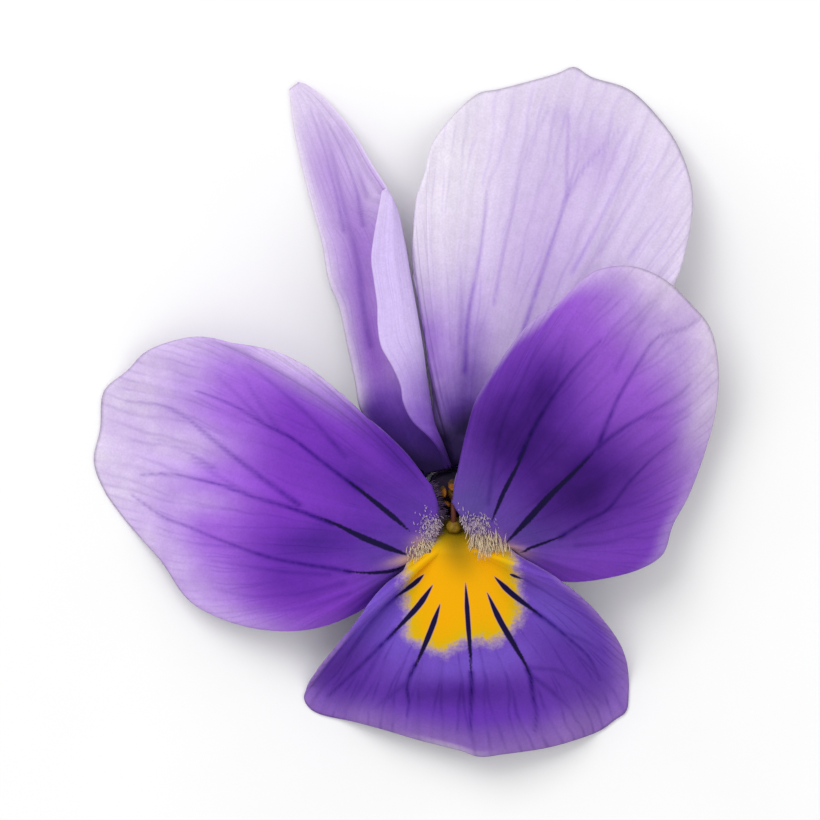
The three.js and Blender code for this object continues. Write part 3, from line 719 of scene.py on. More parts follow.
def right_petal(surface):
    strokes = [
        ([(3.4, -4.38), (3.88, -3.22), (4.4, -2.2), (4.9, -1.1)], 0.085),
        ([(3.92, -5.26), (4.84, -4.3), (5.8, -3.26), (6.76, -2.34), (7.5, -1.6)], 0.125),
        ([(4.56, -5.58), (5.4, -5.26), (6.32, -4.9)], 0.06),
    ]
    lines = [
        ([(3.28, -3.66), (3.52, -1.94), (3.92, -0.26), (4.52, 1.02), (5.28, 2.7), (6, 3.98)], 0.09, 0.5),
        ([(4.5, -1.9), (5.12, -0.58), (5.8, 0.54), (6.8, 1.86), (7.76, 2.86)], 0.09, 1.25),
        ([(5.56, 0.14), (6, 1.46), (6.4, 3.06)], 0.09, 0.4),
        ([(6.4, -2.7), (7.72, -1.3)], 0.09, 1.35),
        ([(7.6, -1.46), (7.96, -0.58), (8.48, 0.62), (9.32, 2.02), (10, 2.94), (11.12, 3.34),
          (11.76, 3.74)], 0.09, 0.9),
        ([(7.68, -1.38), (8.64, -0.66), (9.64, -0.06), (10.68, 0.54), (11.36, 1.14)], 0.09, 0.85),
        ([(9.36, -0.22), (10.36, -0.22), (11.36, 0.26)], 0.08, 0.4),
        ([(6.1, -5), (7.2, -4.34), (7.96, -3.94), (8.88, -2.82), (9.84, -1.82), (10.8, -1.06)], 0.09, 1),
        ([(7.96, -3.94), (9.36, -3.54), (10.36, -2.94)], 0.09, 0.4),
        ([(3.76, -1.74), (4.56, -0.34), (5.56, 1.66)], 0.09, 0.35),
        ([(6.76, -5.34), (8.16, -5.18), (9.56, -4.74)], 0.09, 0.4),
        ([(8.36, 1.66), (9.04, 3.06), (9.96, 4.46)], 0.09, 0.35),
    ]

    def paint(x, y, out, across):
        towards_tip = 0.8 * x + 0.6 * y
        mid = 0.95 * fade(towards_tip, 4.2, 8)
        tip = 0.95 * fade(towards_tip, 7.6, 12.4) * (1 - 0.5 * dab(x, y, (7.6, 5.4), (2, 1.4)))
        pale = either(tip,
                      0.45 * fade(out, 0.88, 1) * fade(y, -2, 1.5),
                      0.3 * fade(out, 0.9, 1) * fade(x, 8.5, 10.5),
                      0.45 * dab(x, y, (11.6, -0.4), (0.7, 2.2), -12))
        pale = pale * (1 - 0.3 * dab(x, y, (11, 3.4), (0.8, 0.8)))
        base = either(0.95 * dab(x, y, (2.6, -3.6), (2.6, 1.6), 60),
                      0.85 * dab(x, y, (5.2, -4.8), (1.9, 1.1)),
                      0.5 * dab(x, y, (4.4, -4), (1, 1)))
        deep = either(0.98 * dab(x, y, (4.4, -1), (2.4, 2.6), 20),
                      0.8 * dab(x, y, (5.6, 1), (1.2, 1.8), -20),
                      0.98 * dab(x, y, (7.2, -3), (2.8, 2), 30))
        dark = either(0.85 * dab(x, y, (4.1, -1), (1.6, 1.7), 20),
                      0.65 * dab(x, y, (5.3, 0.5), (0.6, 1.2), -20),
                      0.95 * dab(x, y, (6.8, -3.2), (1.9, 1.2), 25),
                      0.5 * dab(x, y, (5.9, -1.9), (1.2, 1.2)))
        blush = either(0.6 * dab(x, y, (3, -5.1), (0.6, 0.3)),
                       0.8 * dab(x, y, (4.1, -5.45), (0.75, 0.22), -15))
        return marks(veins(x, y, lines), guides(x, y, strokes), dark, blush, mid=mid, pale=pale,
                     base=base, deep=deep)

    shape = sheet_shape(surface, ROWS, COLUMNS, PETAL_THICKNESS, paint)
    tones = {
        "Ground": "763db4", "Mid": "9658cc", "Pale": "dbcbe6", "Base": "5a4b93", "Deep": "511f90",
        "Dark": "331263", "Blush": "c9a08a", "Vein": "7c58b4", "Guide": GUIDE,
        "Under": "b59ad2",
    }
    material = petal_material("right_petal", tones, 16)[0]
    return finish(make_mesh("right_petal", [shape]), "petal_right", material)


def right_relief(across, out):
    pleats = waves(across, out, 6, 0.05, 2.0) + waves(across, out, 17, 0.02)
    return pleats + 0.1 * np.sin(2 * np.pi * 5 * across + 1) * out ** 6


def back_right_petal():
    def relief(across, out):
        pleats = waves(across, out, 9, 0.07, 0.5) + waves(across, out, 23, 0.025, 1.0)
        return pleats + 0.12 * np.sin(2 * np.pi * 6 * across) * out ** 6

    lines = [
        ([(4.4, 2.4), (4.8, 3.5), (5.4, 5.34), (6.16, 7.66), (6.42, 8.62), (6.46, 10.18), (6.52, 11.82)],
         0.1, 0.9),
        ([(6.32, 8.26), (7.12, 9.7), (7.92, 10.58), (8.64, 11.34)], 0.08, 0.6),
        ([(6.48, 8.86), (6.88, 10.14), (6.96, 11.26)], 0.07, 0.5),
        ([(2.35, 1.6), (2.4, 3.18), (2.52, 4.1), (2.86, 5.74), (3.12, 7.46), (3.24, 8.86)], 0.1, 0.9),
        ([(3.52, 4.3), (3.92, 6.5), (4.32, 8.26), (4.6, 9.7), (5.2, 11.18), (5.76, 12.14)], 0.08, 0.5),
        ([(2.16, 2.66), (2.2, 4.46), (2.12, 5.98)], 0.1, 0.45),
        ([(6.68, 5.58), (7.6, 7.26), (8.28, 8.62), (8.88, 9.9), (9.2, 11.06)], 0.08, 0.55),
        ([(7.72, 6.3), (8.68, 7.86), (9.56, 9.34)], 0.08, 0.45),
        ([(8.96, 6.14), (9.76, 7.26), (10.56, 8.26)], 0.08, 0.4),
    ]

    def paint(x, y, out, across):
        pale = either(0.8 * dab(x, y, (1.6, 10), (2, 5)), 0.25 * fade(out, 0.85, 1))
        mid = either(0.8 * dab(x, y, (5.4, 5.6), (3.2, 5)), 0.5 * dab(x, y, (6.2, 11.9), (0.55, 0.45)),
                     0.6 * dab(x, y, (7.6, 10.4), (1.2, 1.6)))
        base = either(0.9 * dab(x, y, (0.8, 2), (0.9, 2.8)), 0.85 * dab(x, y, (2, 1.6), (1.6, 2.2)),
                      0.35 * dab(x, y, (2.6, 3.8), (0.9, 2.6)), 0.5 * dab(x, y, (0.8, 2.6), (0.5, 1.4)))
        left_edge = fade(x, 2.1, 1)
        deep = either(fade(y, 2.4, -0.4) * (1 - 0.45 * left_edge),
                      0.6 * dab(x, y, (2.5, 1.6), (0.7, 1.6), -8))
        dark = fade(y + 0.7 * np.abs(x - 2.5), 0.9, -0.6)
        return marks(veins(x, y, lines), 9.0, dark, mid=mid, pale=pale, base=base, deep=deep)

    surface = spread_petal(BACK_RIGHT, relief)
    shape = sheet_shape(surface, ROWS, COLUMNS, PETAL_THICKNESS, paint)
    tones = {
        "Ground": "d5c7e3", "Mid": "bca3d8", "Pale": "eae3ef", "Base": "a178d0", "Deep": "5e3b98",
        "Dark": "271b44", "Vein": "b18ce0", "Under": "d9cde8",
    }
    material = petal_material("back_right_petal", tones, 15)[0]
    return finish(make_mesh("back_right_petal", [shape]), "petal_back_right", material)


def rolled_left_petal():
    def relief(across, out):
        return waves(across, out, 5, 0.03)

    lines = [
        # The first, wide line is partly painted shadow: it runs along the shade beside the strip's free
        # edge.
        ([(-1.4, 2.66), (-1.68, 4.26), (-1.92, 6.14), (-2.52, 8.46), (-2.96, 10.46), (-3.52, 11.98)],
         0.14, 0.6),
        ([(-2.44, 7.26), (-2.92, 9.26), (-3.36, 10.86), (-3.84, 12.26)], 0.08, 0.5),
        ([(-1.68, 7.46), (-1.96, 8.86), (-2.44, 10.26), (-3.12, 11.66)], 0.08, 0.6),
        ([(-1.52, 8.66), (-2.04, 10.06), (-2.76, 11.42)], 0.08, 0.4),
    ]

    def paint(x, y, out, across):
        strip = fade(across, 0.42, 0.36)
        edges = [np.array(ROLL[name])[:, :2].T for name in ("left", "fold")]
        left_x, fold_x = [np.interp(y, line[1], line[0]) for line in edges]
        side = np.clip((x - left_x) / (fold_x - left_x), 0, 1)
        left_band = np.clip(1.25 * np.exp(-side / 0.12), 0, 1) * (1 - strip)
        low = y + 1.6 * left_band + 1.1 * strip
        pale = either(0.85 * left_band * fade(y, -0.8, 0.6), 0.35 * dab(x, y, (-1.2, 8.6), (0.5, 1)),
                      0.8 * fade(y, 9.2, 13.2), 0.35 * dab(x, y, (-1.9, 10), (0.8, 1.2)))
        # The first two mid dabs are painted shadow: the band that the folded strip's free edge shades on
        # the sheet.
        mid = either(dab(x, y, (-1.5, 2.4), (0.8, 2.6), 12) * (1 - strip),
                     0.5 * dab(x, y, (-1.8, 5.8), (0.7, 2.6)) * (1 - strip),
                     0.3 * strip * fade(y, 3, 0))
        base = either(fade(low, 1.9, 0.2) * (1 - 0.3 * strip), 0.3 * strip * fade(low, 3.6, 0.6),
                      0.7 * strip * fade(y, 3.6, -0.2) * fade(side, 0.5, 0.95))
        deep = fade(y + 0.35 * x + 0.5 * left_band, 0.9, -1) * (1 - 0.85 * strip * fade(y, -1.8, -0.6))
        dark = fade(y + 0.35 * x, -0.7, -1.9) * (1 - 0.6 * strip)
        return marks(veins(x, y, lines), 9.0, dark, mid=mid, pale=pale, base=base, deep=deep)

    shape = sheet_shape(rolled_petal(relief), ROLL_ROWS, ROLL_COLUMNS, PETAL_THICKNESS, paint)
    tones = {
        "Ground": "b390d6", "Mid": "8c52c0", "Pale": "e6dbee", "Base": "784ab8", "Deep": "46287c",
        "Dark": "2b1e4a", "Vein": "9c7cc8", "Under": "cfbbec",
    }
    material = petal_material("rolled_left_petal", tones, 11, under_share=1.0)[0]
    return finish(make_mesh("rolled_left_petal", [shape]), "petal_back_left", material)


def lower_petal():
    def relief(across, out):
        pleats = waves(across, out, 8, 0.06, 0.3) + waves(across, out, 21, 0.02)
        return pleats + 0.08 * np.sin(2 * np.pi * 6 * across) * out ** 6

    strokes = [
        ([(0.76, -6.48), (0.36, -6.86), (-0.12, -7.22), (-0.4, -7.42)], 0.095),
        ([(1.1, -6.88), (0.52, -7.74), (-0.4, -8.75), (-0.8, -9.15)], 0.11),
        ([(1.39, -7.62), (1.02, -8.68), (0.55, -9.8), (0.2, -10.5)], 0.11),
        ([(2.36, -6.78), (2.47, -8.42), (2.58, -9.9), (2.6, -10.8)], 0.095),
        ([(3.2, -7.18), (3.72, -8.3), (4.32, -9.34), (4.84, -10.26), (5, -10.8)], 0.115),
        ([(3.48, -6.58), (4.12, -7.22), (5, -7.9), (5.4, -8.2)], 0.115),
        ([(4.14, -6.42), (4.68, -6.62)], 0.065),
    ]
    lines = [
        ([(-0.2, -7.28), (-0.84, -7.78), (-1.6, -8.66), (-2.3, -9.8)], 0.09, 0.8),
        ([(-0.4, -8.75), (-1.1, -9.48), (-2.16, -10.54), (-3.12, -11.42)], 0.09, 1.3),
        ([(0.4, -10.1), (0.18, -10.54), (0.06, -10.98), (0.14, -11.66), (0.08, -12.18)], 0.09, 1.4),
        ([(0.08, -10.82), (-0.36, -11.14), (-1.2, -11.86)], 0.1, 0.6),
        ([(-0.84, -9.26), (-1.6, -10.74), (-2.44, -12.06)], 0.1, 0.5),
        ([(2.6, -10.4), (2.62, -10.8), (2.6, -11.66), (2.6, -12.94)], 0.08, 1.4),
        ([(4.84, -10.26), (4.96, -10.62), (5.08, -11.5), (5.2, -12.02), (5.16, -12.74)], 0.09, 1.4),
        ([(4.92, -10.5), (5.68, -11.06), (6.6, -11.94)], 0.1, 0.7),
        ([(4.84, -10.18), (6.16, -10.42), (7.2, -11.14), (7.92, -11.74)], 0.09, 0.5),
        ([(5.1, -8), (5.68, -8.42), (6.56, -9.14), (7.28, -9.82), (7.72, -10.74)], 0.09, 1.2),
        ([(6.16, -8.78), (7.16, -9.14), (8.04, -9.74)], 0.09, 0.5),
        ([(4.6, -6.58), (5.56, -7.14), (6.56, -7.82)], 0.1, 0.6),
    ]
    blotch = [
        (1.5, -3.6), (1.2, -5), (0.5, -5.4), (0.05, -5.9), (-0.02, -6.8), (0.03, -7.6), (0.14, -8.3),
        (0.2, -9.05), (0.8, -9.25), (1.45, -9.55), (2.05, -9.3), (2.45, -9.06), (2.9, -9.08),
        (3.45, -9.12), (4, -8.8), (4.45, -8.3), (4.5, -7.6), (4.5, -6.9), (4.35, -6.2), (4.15, -5.6),
        (3.8, -4.8), (2.8, -4.8), (2.4, -3.6),
    ]

    def paint(x, y, out, across):
        pale = either(0.65 * fade(out, 0.84, 1), 0.3 * dab(x, y, (7.4, -11.8), (1.8, 0.9), 40))
        blush = fade(out, 0.965, 0.985) * dab(x, y, (1.8, -13.4), (1.4, 0.5), -12)
        mid = either(0.6 * dab(x, y, (2, -12), (4.4, 0.5)), 0.5 * dab(x, y, (-0.6, -8), (1.4, 1.8), -40))
        base = either(0.95 * dab(x, y, (0, -9), (1.8, 1.3), -30),
                      0.9 * dab(x, y, (3.2, -9.9), (2.6, 0.8), 15),
                      0.85 * dab(x, y, (5.9, -8.1), (1, 2.6), 42),
                      0.8 * dab(x, y, (-0.9, -7.6), (0.8, 1.8), -42))
        deep = either(0.75 * dab(x, y, (2.2, -11.2), (3.8, 0.6)),
                      0.6 * dab(x, y, (-2.2, -10.6), (0.9, 1.5), -40),
                      0.55 * dab(x, y, (7.2, -10.6), (1, 1.6), 20),
                      0.5 * dab(x, y, (6, -9.4), (1, 0.8), -35))
        dark = 0.35 * dab(x, y, (1.6, -11.3), (1.8, 0.5))
        yellow = {"gold": inside_distance(x, y, blotch)}
        # shade: painted shade in olive, where the claw and the top of the blotch lie deep in the throat
        yellow["shade"] = either(fade(y, -5.6, -4.6), 0.75 * dab(x, y, (2, -5.3), (0.6, 0.7)),
                                 0.35 * dab(x, y, (2.3, -6), (0.6, 0.7)))
        return yellow | marks(veins(x, y, lines), guides(x, y, strokes), dark, blush, mid=mid, pale=pale,
                              base=base, deep=deep)

    shape = sheet_shape(spread_petal(LOWER, relief), ROWS, COLUMNS, PETAL_THICKNESS, paint)
    tones = {
        "Ground": "6a3cae", "Mid": "6c34bc", "Pale": "9d7abd", "Base": "7655c6", "Deep": "522496",
        "Dark": "40187c", "Blush": "b7a3cc", "Vein": "7a58b0", "Guide": GUIDE,
        "Under": "a58cc6",
    }
    material, n, shader, painted = petal_material("lower_petal", tones, 16, lines=0.4)
    yellow_blotch(n, shader, painted)
    return finish(make_mesh("lower_petal", [shape]), "petal_lower", material)


def yellow_blotch(n, shader, painted):
    """Lays the yellow over the paint: a pale frayed border, lemon, then orange yellow, and painted
    olive shade where the blotch runs down into the shaded throat. The guide lines stay on top."""
    cells = n.noise(n.place(), 8000.0, 3.0, 0.75)
    patches = n.noise(n.place(), 2200.0, 2.0, 0.5)
    gold = n.math("ADD", n.attribute("gold"), n.ramp(cells, 0.25, 0.75, -0.1, 0.1))
    gold = n.math("ADD", gold, n.ramp(patches, 0.25, 0.75, -0.1, 0.1))
    top = n.math("SUBTRACT", 1.0, n.attribute("under"))
    clear = n.math("MULTIPLY", n.ramp(n.attribute("guide"), -0.02, 0.035), top)
    fringe = n.math("MULTIPLY", n.ramp(gold, -0.42, 0.02, 0.0, 0.6), clear)
    shade = n.mix(fringe, painted, colour("bca3b4"))
    yellow = n.mix(n.ramp(gold, 0.05, 0.6), colour("d8b40c"), colour("ecaf00"))
    yellow = n.mix(n.ramp(gold, 0.4, 1.2), yellow, colour("f2ac00"))
    # Painted shade: olive over the yellow where the "shade" mark lies, deep in the throat
    yellow = n.mix(n.attribute("shade"), yellow, colour("75640a"))
    shade = n.mix(n.math("MULTIPLY", n.ramp(gold, -0.12, 0.24), clear), shade, yellow)
    n.join(shader.inputs["Base Color"], shade)


# Spur, hollow in the solids and closed here because nothing can look into it

def spur():
    path = [
        (1.88, -5.1, 3.7), (1.88, -5.17, 3.4), (1.88, -5.25, 3), (1.88, -5.7, 1.7), (1.88, -6.0, 0.75),
        (1.88, -6.15, 0.02),
    ]

    def radius(share, turn):
        swell = 0.68 + 0.1 * np.sin(np.pi * share) + 0.02 * np.cos(6 * turn)
        return swell * dome_end(share, 0.8) + 0.002

    shape = ring_shape(tube_rings(path, radius, 60, 48))
    material, n, shader = new_material("spur")
    skin = n.noise(n.place(), 3000.0, 4.0, 0.6)
    streak = n.noise(n.place((2600, 2600, 300)), 1.0, 2.0)
    shade = n.mix(n.ramp(skin, 0.3, 0.7), colour("7a55b4"), colour("5c3a9c"))
    shade = n.mix(n.ramp(streak, 0.4, 0.7, 0.0, 0.6), shade, colour("41237c"))
    shade = n.mix(n.ramp(n.attribute("way"), 0.75, 1.0, 0.0, 0.6), shade, colour("8a6cc4"))
    shade = n.mix(n.ramp(n.attribute("way"), 0.03, 0.0), shade, colour("33240e"))
    n.join(shader.inputs["Base Color"], shade)
    bump = n.add("ShaderNodeBump", {"Strength": 0.4, "Distance": 0.00003, "Height": skin})
    n.join(shader.inputs["Normal"], bump.outputs[0])
    n.join(shader.inputs["Roughness"], n.ramp(skin, 0.2, 0.8, 0.45, 0.6))
    return finish(make_mesh("spur", [shape]), "petal_lower", material)


# Beards: short hairs on the two side petals, round the throat, with a fringe of longer ones below

def hair_shapes(roots, ways, length, radius, bend, rng):
    """Club-shaped hairs. Each starts on its root and bends from its own way towards bend.

    A hair's point at t from 0 to 1 lies at root + length * (way * (t - t * t / 4) + bend * t * t / 2).
    """
    steps, sides = 6, 5
    t = np.linspace(0, 1, steps)[None, :, None]
    length = length[:, None, None]
    line = roots[:, None] + length * (ways[:, None] * (t - t * t / 4) + bend[:, None] * t * t / 2)
    first = np.cross(ways, rng.normal(size=ways.shape))
    first /= np.linalg.norm(first, axis=1, keepdims=True)
    second = np.cross(ways, first)
    turn = np.linspace(0, 2 * np.pi, sides, endpoint=False)[None, None, :, None]
    club = (0.75 + 0.5 * t * t) * np.array([1, 1, 1, 1, 0.95, 0.5])[None, :, None]
    round_ = first[:, None, None] * np.cos(turn) + second[:, None, None] * np.sin(turn)
    rings = line[:, :, None] + round_ * (radius[:, None, None] * club)[..., None]
    tint = rng.uniform(size=len(roots))
    shapes = []
    for hair, value in zip(rings, tint):
        shapes.append(ring_shape(hair, {"tint": np.full(steps * sides + 2, value)}))
    return shapes


def hairs_on(surface, along, across, middle, size, turn, count, rng):
    """Random roots on a petal within a soft oval seen from above, with the skin's way up."""
    a = rng.uniform(*along, count * 8)
    c = rng.uniform(*across, count * 8)
    root = surface(a[None], c[None])[0]
    keep = rng.uniform(size=len(root)) < 1.6 * dab(root[:, 0], root[:, 1], middle, size, turn)
    a, c, root = a[keep][:count], c[keep][:count], root[keep][:count]
    step = 1e-3
    way = np.cross(surface(a[None] + step, c[None])[0] - root, surface(a[None], c[None] + step)[0] - root)
    return root, way / np.linalg.norm(way, axis=1, keepdims=True)


def hair_material(name, low, high, far):
    """Hairs that go from one colour at the root to another at the tip. far tints some of them."""
    material, n, shader = new_material(name)
    way = n.attribute("way")
    tint = n.attribute("tint")
    shade = n.mix(n.ramp(way, 0.1, 0.75), colour(low), colour(high))
    shade = n.mix(n.math("MULTIPLY", n.ramp(tint, 0.45, 0.8), 0.75), shade, colour(far))
    n.join(shader.inputs["Base Color"], shade)
    fleck = n.noise(n.place(), 20000.0, 2.0)
    n.join(shader.inputs["Roughness"], n.ramp(fleck, 0.2, 0.8, 0.35, 0.55))
    return material


def beards(left_surface, right_surface):
    rng = np.random.default_rng(SEED)
    soft = hair_material("beard_hairs", "5d4186", "c4b0bc", "8a70aa")
    cream = hair_material("cream_hairs", "8a6a7c", "dcc8a6", "b9a08c")
    sets = [
        ("right_beard", right_surface, soft, (2.75, -4.6), (0.5, 0.4), 15, 700, 0.3, (0.1, -1, 0)),
        ("right_fringe", right_surface, cream, (2.9, -5.1), (0.5, 0.22), 0, 620, 0.62, (0.1, -1, -0.2)),
        ("left_beard", left_surface, soft, (1.08, -4.75), (0.33, 0.5), 30, 620, 0.26, (0.4, -0.8, 0)),
        ("left_fringe", left_surface, cream, (0.7, -5.35), (0.4, 0.2), 20, 420, 0.4, (0.2, -1, -0.2)),
    ]
    for name, surface, material, middle, size, turn, count, long, lean in sets:
        root, way = hairs_on(surface, (0.15, 0.3), (0.1, 1), middle, size, turn, count, rng)
        root, way = root[root[:, 2] > 4.5], way[root[:, 2] > 4.5]
        way = way + np.array([0, 0, 0.7]) + 0.25 * np.array(lean) + rng.normal(0, 0.3, way.shape)
        way /= np.linalg.norm(way, axis=1, keepdims=True)
        length = long * rng.uniform(0.55, 1.15, len(root))
        bend = np.array(lean) * (0.4 + long) + rng.normal(0, 0.22, way.shape)
        shapes = hair_shapes(root, way, length, rng.uniform(0.011, 0.02, len(root)), bend, rng)
        node = "petal_" + name.split("_")[0]
        finish(make_mesh(name, shapes), node, material)
    # The throat fuzz is near black: painted shade of the gap between the side petals, carried by its
    # hairs.
    fuzz = hair_material("throat_fuzz", "2a1838", "4e3660", "35202a")
    root, way = hairs_on(left_surface, (0.1, 0.2), (0.0, 0.6), (1.2, -3.6), (0.5, 1), 0, 260, rng)
    way = way + np.array([0.7, 0.1, 0]) + rng.normal(0, 0.4, way.shape)
    way /= np.linalg.norm(way, axis=1, keepdims=True)
    length = rng.uniform(0.15, 0.42, len(root))
    bend = np.tile([0.5, -0.1, -0.6], (len(root), 1)) + rng.normal(0, 0.3, way.shape)
    shapes = hair_shapes(root, way, length, rng.uniform(0.008, 0.013, len(root)), bend, rng)
    finish(make_mesh("throat_fuzz", shapes), "petal_left", fuzz)


# The parts inside the throat

CONE_TILT = 11.0  # degrees that the stamens and the pistil lean towards the lower petal
CONE_FOOT = 3.2
ANTHER_SIZE = (0.11, 0.2, 1.4)
HEAD_SIZE = (0.3, 0.28, 0.6)


def on_cup(points):
    """Turns points that stand on the cup's middle by the lean of the whole cone."""
    c, s = np.cos(np.radians(CONE_TILT)), np.sin(np.radians(CONE_TILT))
    x, y, z = points[..., 0], points[..., 1], points[..., 2]
    return np.stack([x + CUP[0], c * y - s * z + CUP[1], s * y + c * z + CONE_FOOT], -1)


def egg_rings(size, steps, sides, groove=None):
    """Rings of an egg shape that stands on the origin. groove(turn, height) scales its width."""
    height = np.linspace(0.002, 0.998, steps)[:, None]
    turn = np.linspace(0, 2 * np.pi, sides, endpoint=False)[None, :]
    wide = 2 * np.sqrt(height * (1 - height)) * (groove(turn, height) if groove else 1)
    return np.stack([size[0] * wide * np.cos(turn), size[1] * wide * np.sin(turn),
                     size[2] * height + 0 * turn], -1)


def stamens():
    """Five anthers in a ring, each with a groove on its inner side and an orange tip."""
    def groove(turn, height):
        inner_side = np.exp(-((np.cos(turn) - 1) ** 2) * 9)
        lower_part = (height < 0.66) * np.sin(np.pi * np.clip(height / 0.66, 0, 1))
        return 1 - 0.22 * inner_side * lower_part

    material, n, shader = new_material("anthers")
    shader.inputs["Specular IOR Level"].default_value = 0.15
    way = n.attribute("way")
    grains = n.noise(n.place(), 14000.0, 3.0, 0.7)
    # The dark brown bodies are painted shade of the deep throat; the orange-brown tips are the anthers'
    # own colour.
    body = n.mix(n.ramp(grains, 0.35, 0.65), colour("4c3524"), colour("6d5230"))
    tip = n.mix(n.ramp(grains, 0.3, 0.7), colour("7a4718"), colour("a9691f"))
    n.join(shader.inputs["Base Color"], n.mix(n.ramp(way, 0.6, 0.7), body, tip))
    bump = n.add("ShaderNodeBump", {"Strength": 0.5, "Distance": 0.00003, "Height": grains})
    n.join(shader.inputs["Normal"], bump.outputs[0])
    n.join(shader.inputs["Roughness"], n.ramp(grains, 0.2, 0.8, 0.6, 0.75))
    for i in range(5):
        rings = egg_rings(ANTHER_SIZE, 26, 28, groove)
        lean = np.radians(-7)
        x, z = rings[..., 0].copy(), rings[..., 2].copy()
        rings[..., 0] = x * np.cos(lean) + z * np.sin(lean) + 0.5
        rings[..., 2] = z * np.cos(lean) - x * np.sin(lean)
        turn = np.radians(90 + 72 * i)
        x, y = rings[..., 0].copy(), rings[..., 1].copy()
        rings[..., 0] = x * np.cos(turn) - y * np.sin(turn)
        rings[..., 1] = x * np.sin(turn) + y * np.cos(turn)
        node = f"stamen_{i + 1}"
        finish(make_mesh(node.replace("stamen", "anther"), [ring_shape(on_cup(rings))]), node,
               material)


def pistil():
    """The ovary, the bent style and its round head, which has a hollow on its lower side."""
    def hollow(turn, height):
        lower_side = np.exp(-((turn - 1.5 * np.pi) ** 2) * 6)
        return 1 - 0.3 * lower_side * np.exp(-((height - 0.6) ** 2) * 40)

    style_path = [(1.88, -3.4, 4), (1.88, -3.55, 4.75), (1.89, -4, 5), (1.9, -4.5, 4.8)]
    ovary = on_cup(egg_rings((0.24, 0.24, 1), 24, 28))
    style = tube_rings(style_path, lambda share, turn: 0.07 + 0.05 * share + 0 * turn, 24, 16)
    head = egg_rings(HEAD_SIZE, 30, 32, hollow)
    head = head + np.array([1.9, -4.6, 4.42])
    material, n, shader = new_material("pistil")
    # The olive of the head and ovary and the dark red-brown of the style are painted shade of the deep
    # throat; the real parts are pale green-yellow.
    grain = n.noise(n.place(), 6000.0, 3.0)
    shade = n.mix(n.ramp(grain, 0.3, 0.7), colour("6c5412"), colour("8a6c1a"))
    shade = n.mix(n.attribute("style"), shade, colour("5a2c22"))
    shader.inputs["Specular IOR Level"].default_value = 0.15
    n.join(shader.inputs["Base Color"], shade)
    bump = n.add("ShaderNodeBump", {"Strength": 0.4, "Distance": 0.00003, "Height": grain})
    n.join(shader.inputs["Normal"], bump.outputs[0])
    n.join(shader.inputs["Roughness"], n.ramp(grain, 0.2, 0.8, 0.35, 0.5))
    shapes = [ring_shape(ovary), ring_shape(style), ring_shape(head)]
    for shape, value in zip(shapes, (0.5, 1.0, 0.0)):
        shape[2]["style"] = np.full(len(shape[0]), value)
    return finish(make_mesh("pistil_and_head", shapes), "pistil", material)


# Green parts

SEPALS = {
    "sepal_top": (80, 72, 1.7), "sepal_left": (155, 160, 1.5), "sepal_lower_left": (221, 247, 1.2),
    "sepal_lower_right": (322, 300, 1.2), "sepal_right": (22, 14, 1.7),
}
SEPAL_LENGTH = 6.4
SEPAL_WIDTH = 1.8
SEPAL_THICKNESS = 0.18


def sepal_surface(start, end, tip):
    """A lance-shaped leaf that leaves the cup under the petals, with a short flap behind its base.

    Its width grows as a sine wave from its base and narrows with the cube of the way to its tip.
    Its midrib is a low ridge, and its margins curl up a little.
    """
    def surface(along, across):
        reach = -1 + (SEPAL_LENGTH + 1) * along
        outward = np.clip(reach, 0, None) / SEPAL_LENGTH
        drop = np.clip(-reach, 0, None)
        way = np.radians(start + (end - start) * outward)
        wide = 0.42 + 0.58 * np.sin(np.pi * outward) - 0.4 * outward ** 3
        wide = wide * np.sqrt(np.clip(1 - np.clip((drop - 0.6) / 0.42, 0, 1) ** 2, 0.03, 1))
        side = 2 * across - 1
        sideways = side * SEPAL_WIDTH / 2 * wide
        middle = 1.3 + np.clip(reach, 0, None) + 0.4 * drop
        height = 2.5 + (tip - 2.5) * outward - drop
        ridge = -0.09 * np.exp(-((side / 0.12) ** 2)) - 0.025 * np.cos(6 * np.pi * side) * (1 - side ** 2)
        height = height + 0.12 * side ** 2 + ridge + 0.03 * np.sin(14 * along + 3 * side)
        x = CUP[0] + middle * np.cos(way) - sideways * np.sin(way)
        y = CUP[1] + middle * np.sin(way) + sideways * np.cos(way)
        return np.stack([x, y, height], -1)

    return surface


def leaf_material():
    """Green leaf with a paler midrib and thin margins, lengthwise veins, and painted shade in near
    black violet on the upper side of the flap, where it lies deep in the throat.
    """
    material, n, shader = new_material("sepal_green")
    split = n.add("ShaderNodeSeparateXYZ", {0: n.add("ShaderNodeUVMap", uv_map="petal").outputs[0]})
    across, along = split.outputs[0], split.outputs[1]
    skin = n.noise(n.place(), 4000.0, 4.0, 0.6)
    shade = n.mix(n.ramp(skin, 0.3, 0.7), colour("4d7a2c"), colour("6f9a45"))
    middle = n.math("ABSOLUTE", n.math("SUBTRACT", across, 0.5))
    stripe = n.math("ABSOLUTE", n.math("SUBTRACT", n.math("FRACT", n.math("MULTIPLY", across, 8.0)), 0.5))
    shade = n.mix(n.ramp(stripe, 0.14, 0.0, 0.0, 0.45), shade, colour("3c6422"))
    shade = n.mix(n.ramp(middle, 0.07, 0.02, 0.0, 0.7), shade, colour("93b56a"))
    shade = n.mix(n.ramp(middle, 0.44, 0.5, 0.0, 0.8), shade, colour("b9cf9a"))
    upper = n.math("SUBTRACT", 1.0, n.attribute("under"))
    # Painted shade: near black violet on the upper side of the flap under the petals.
    shade = n.mix(n.math("MULTIPLY", n.ramp(along, 0.5, 0.36), upper), shade, colour("281b38"))
    n.join(shader.inputs["Base Color"], shade)
    bump = n.add("ShaderNodeBump", {"Strength": 0.4, "Distance": 0.00004, "Height": skin})
    n.join(shader.inputs["Normal"], bump.outputs[0])
    n.join(shader.inputs["Roughness"], n.ramp(skin, 0.2, 0.8, 0.45, 0.6))
    return material


def sepals():
    material = leaf_material()
    for node, (start, end, tip) in SEPALS.items():
        shape = sheet_shape(sepal_surface(start, end, tip), 90, 50, SEPAL_THICKNESS)
        finish(make_mesh("leaf_" + node, [shape]), node, material)


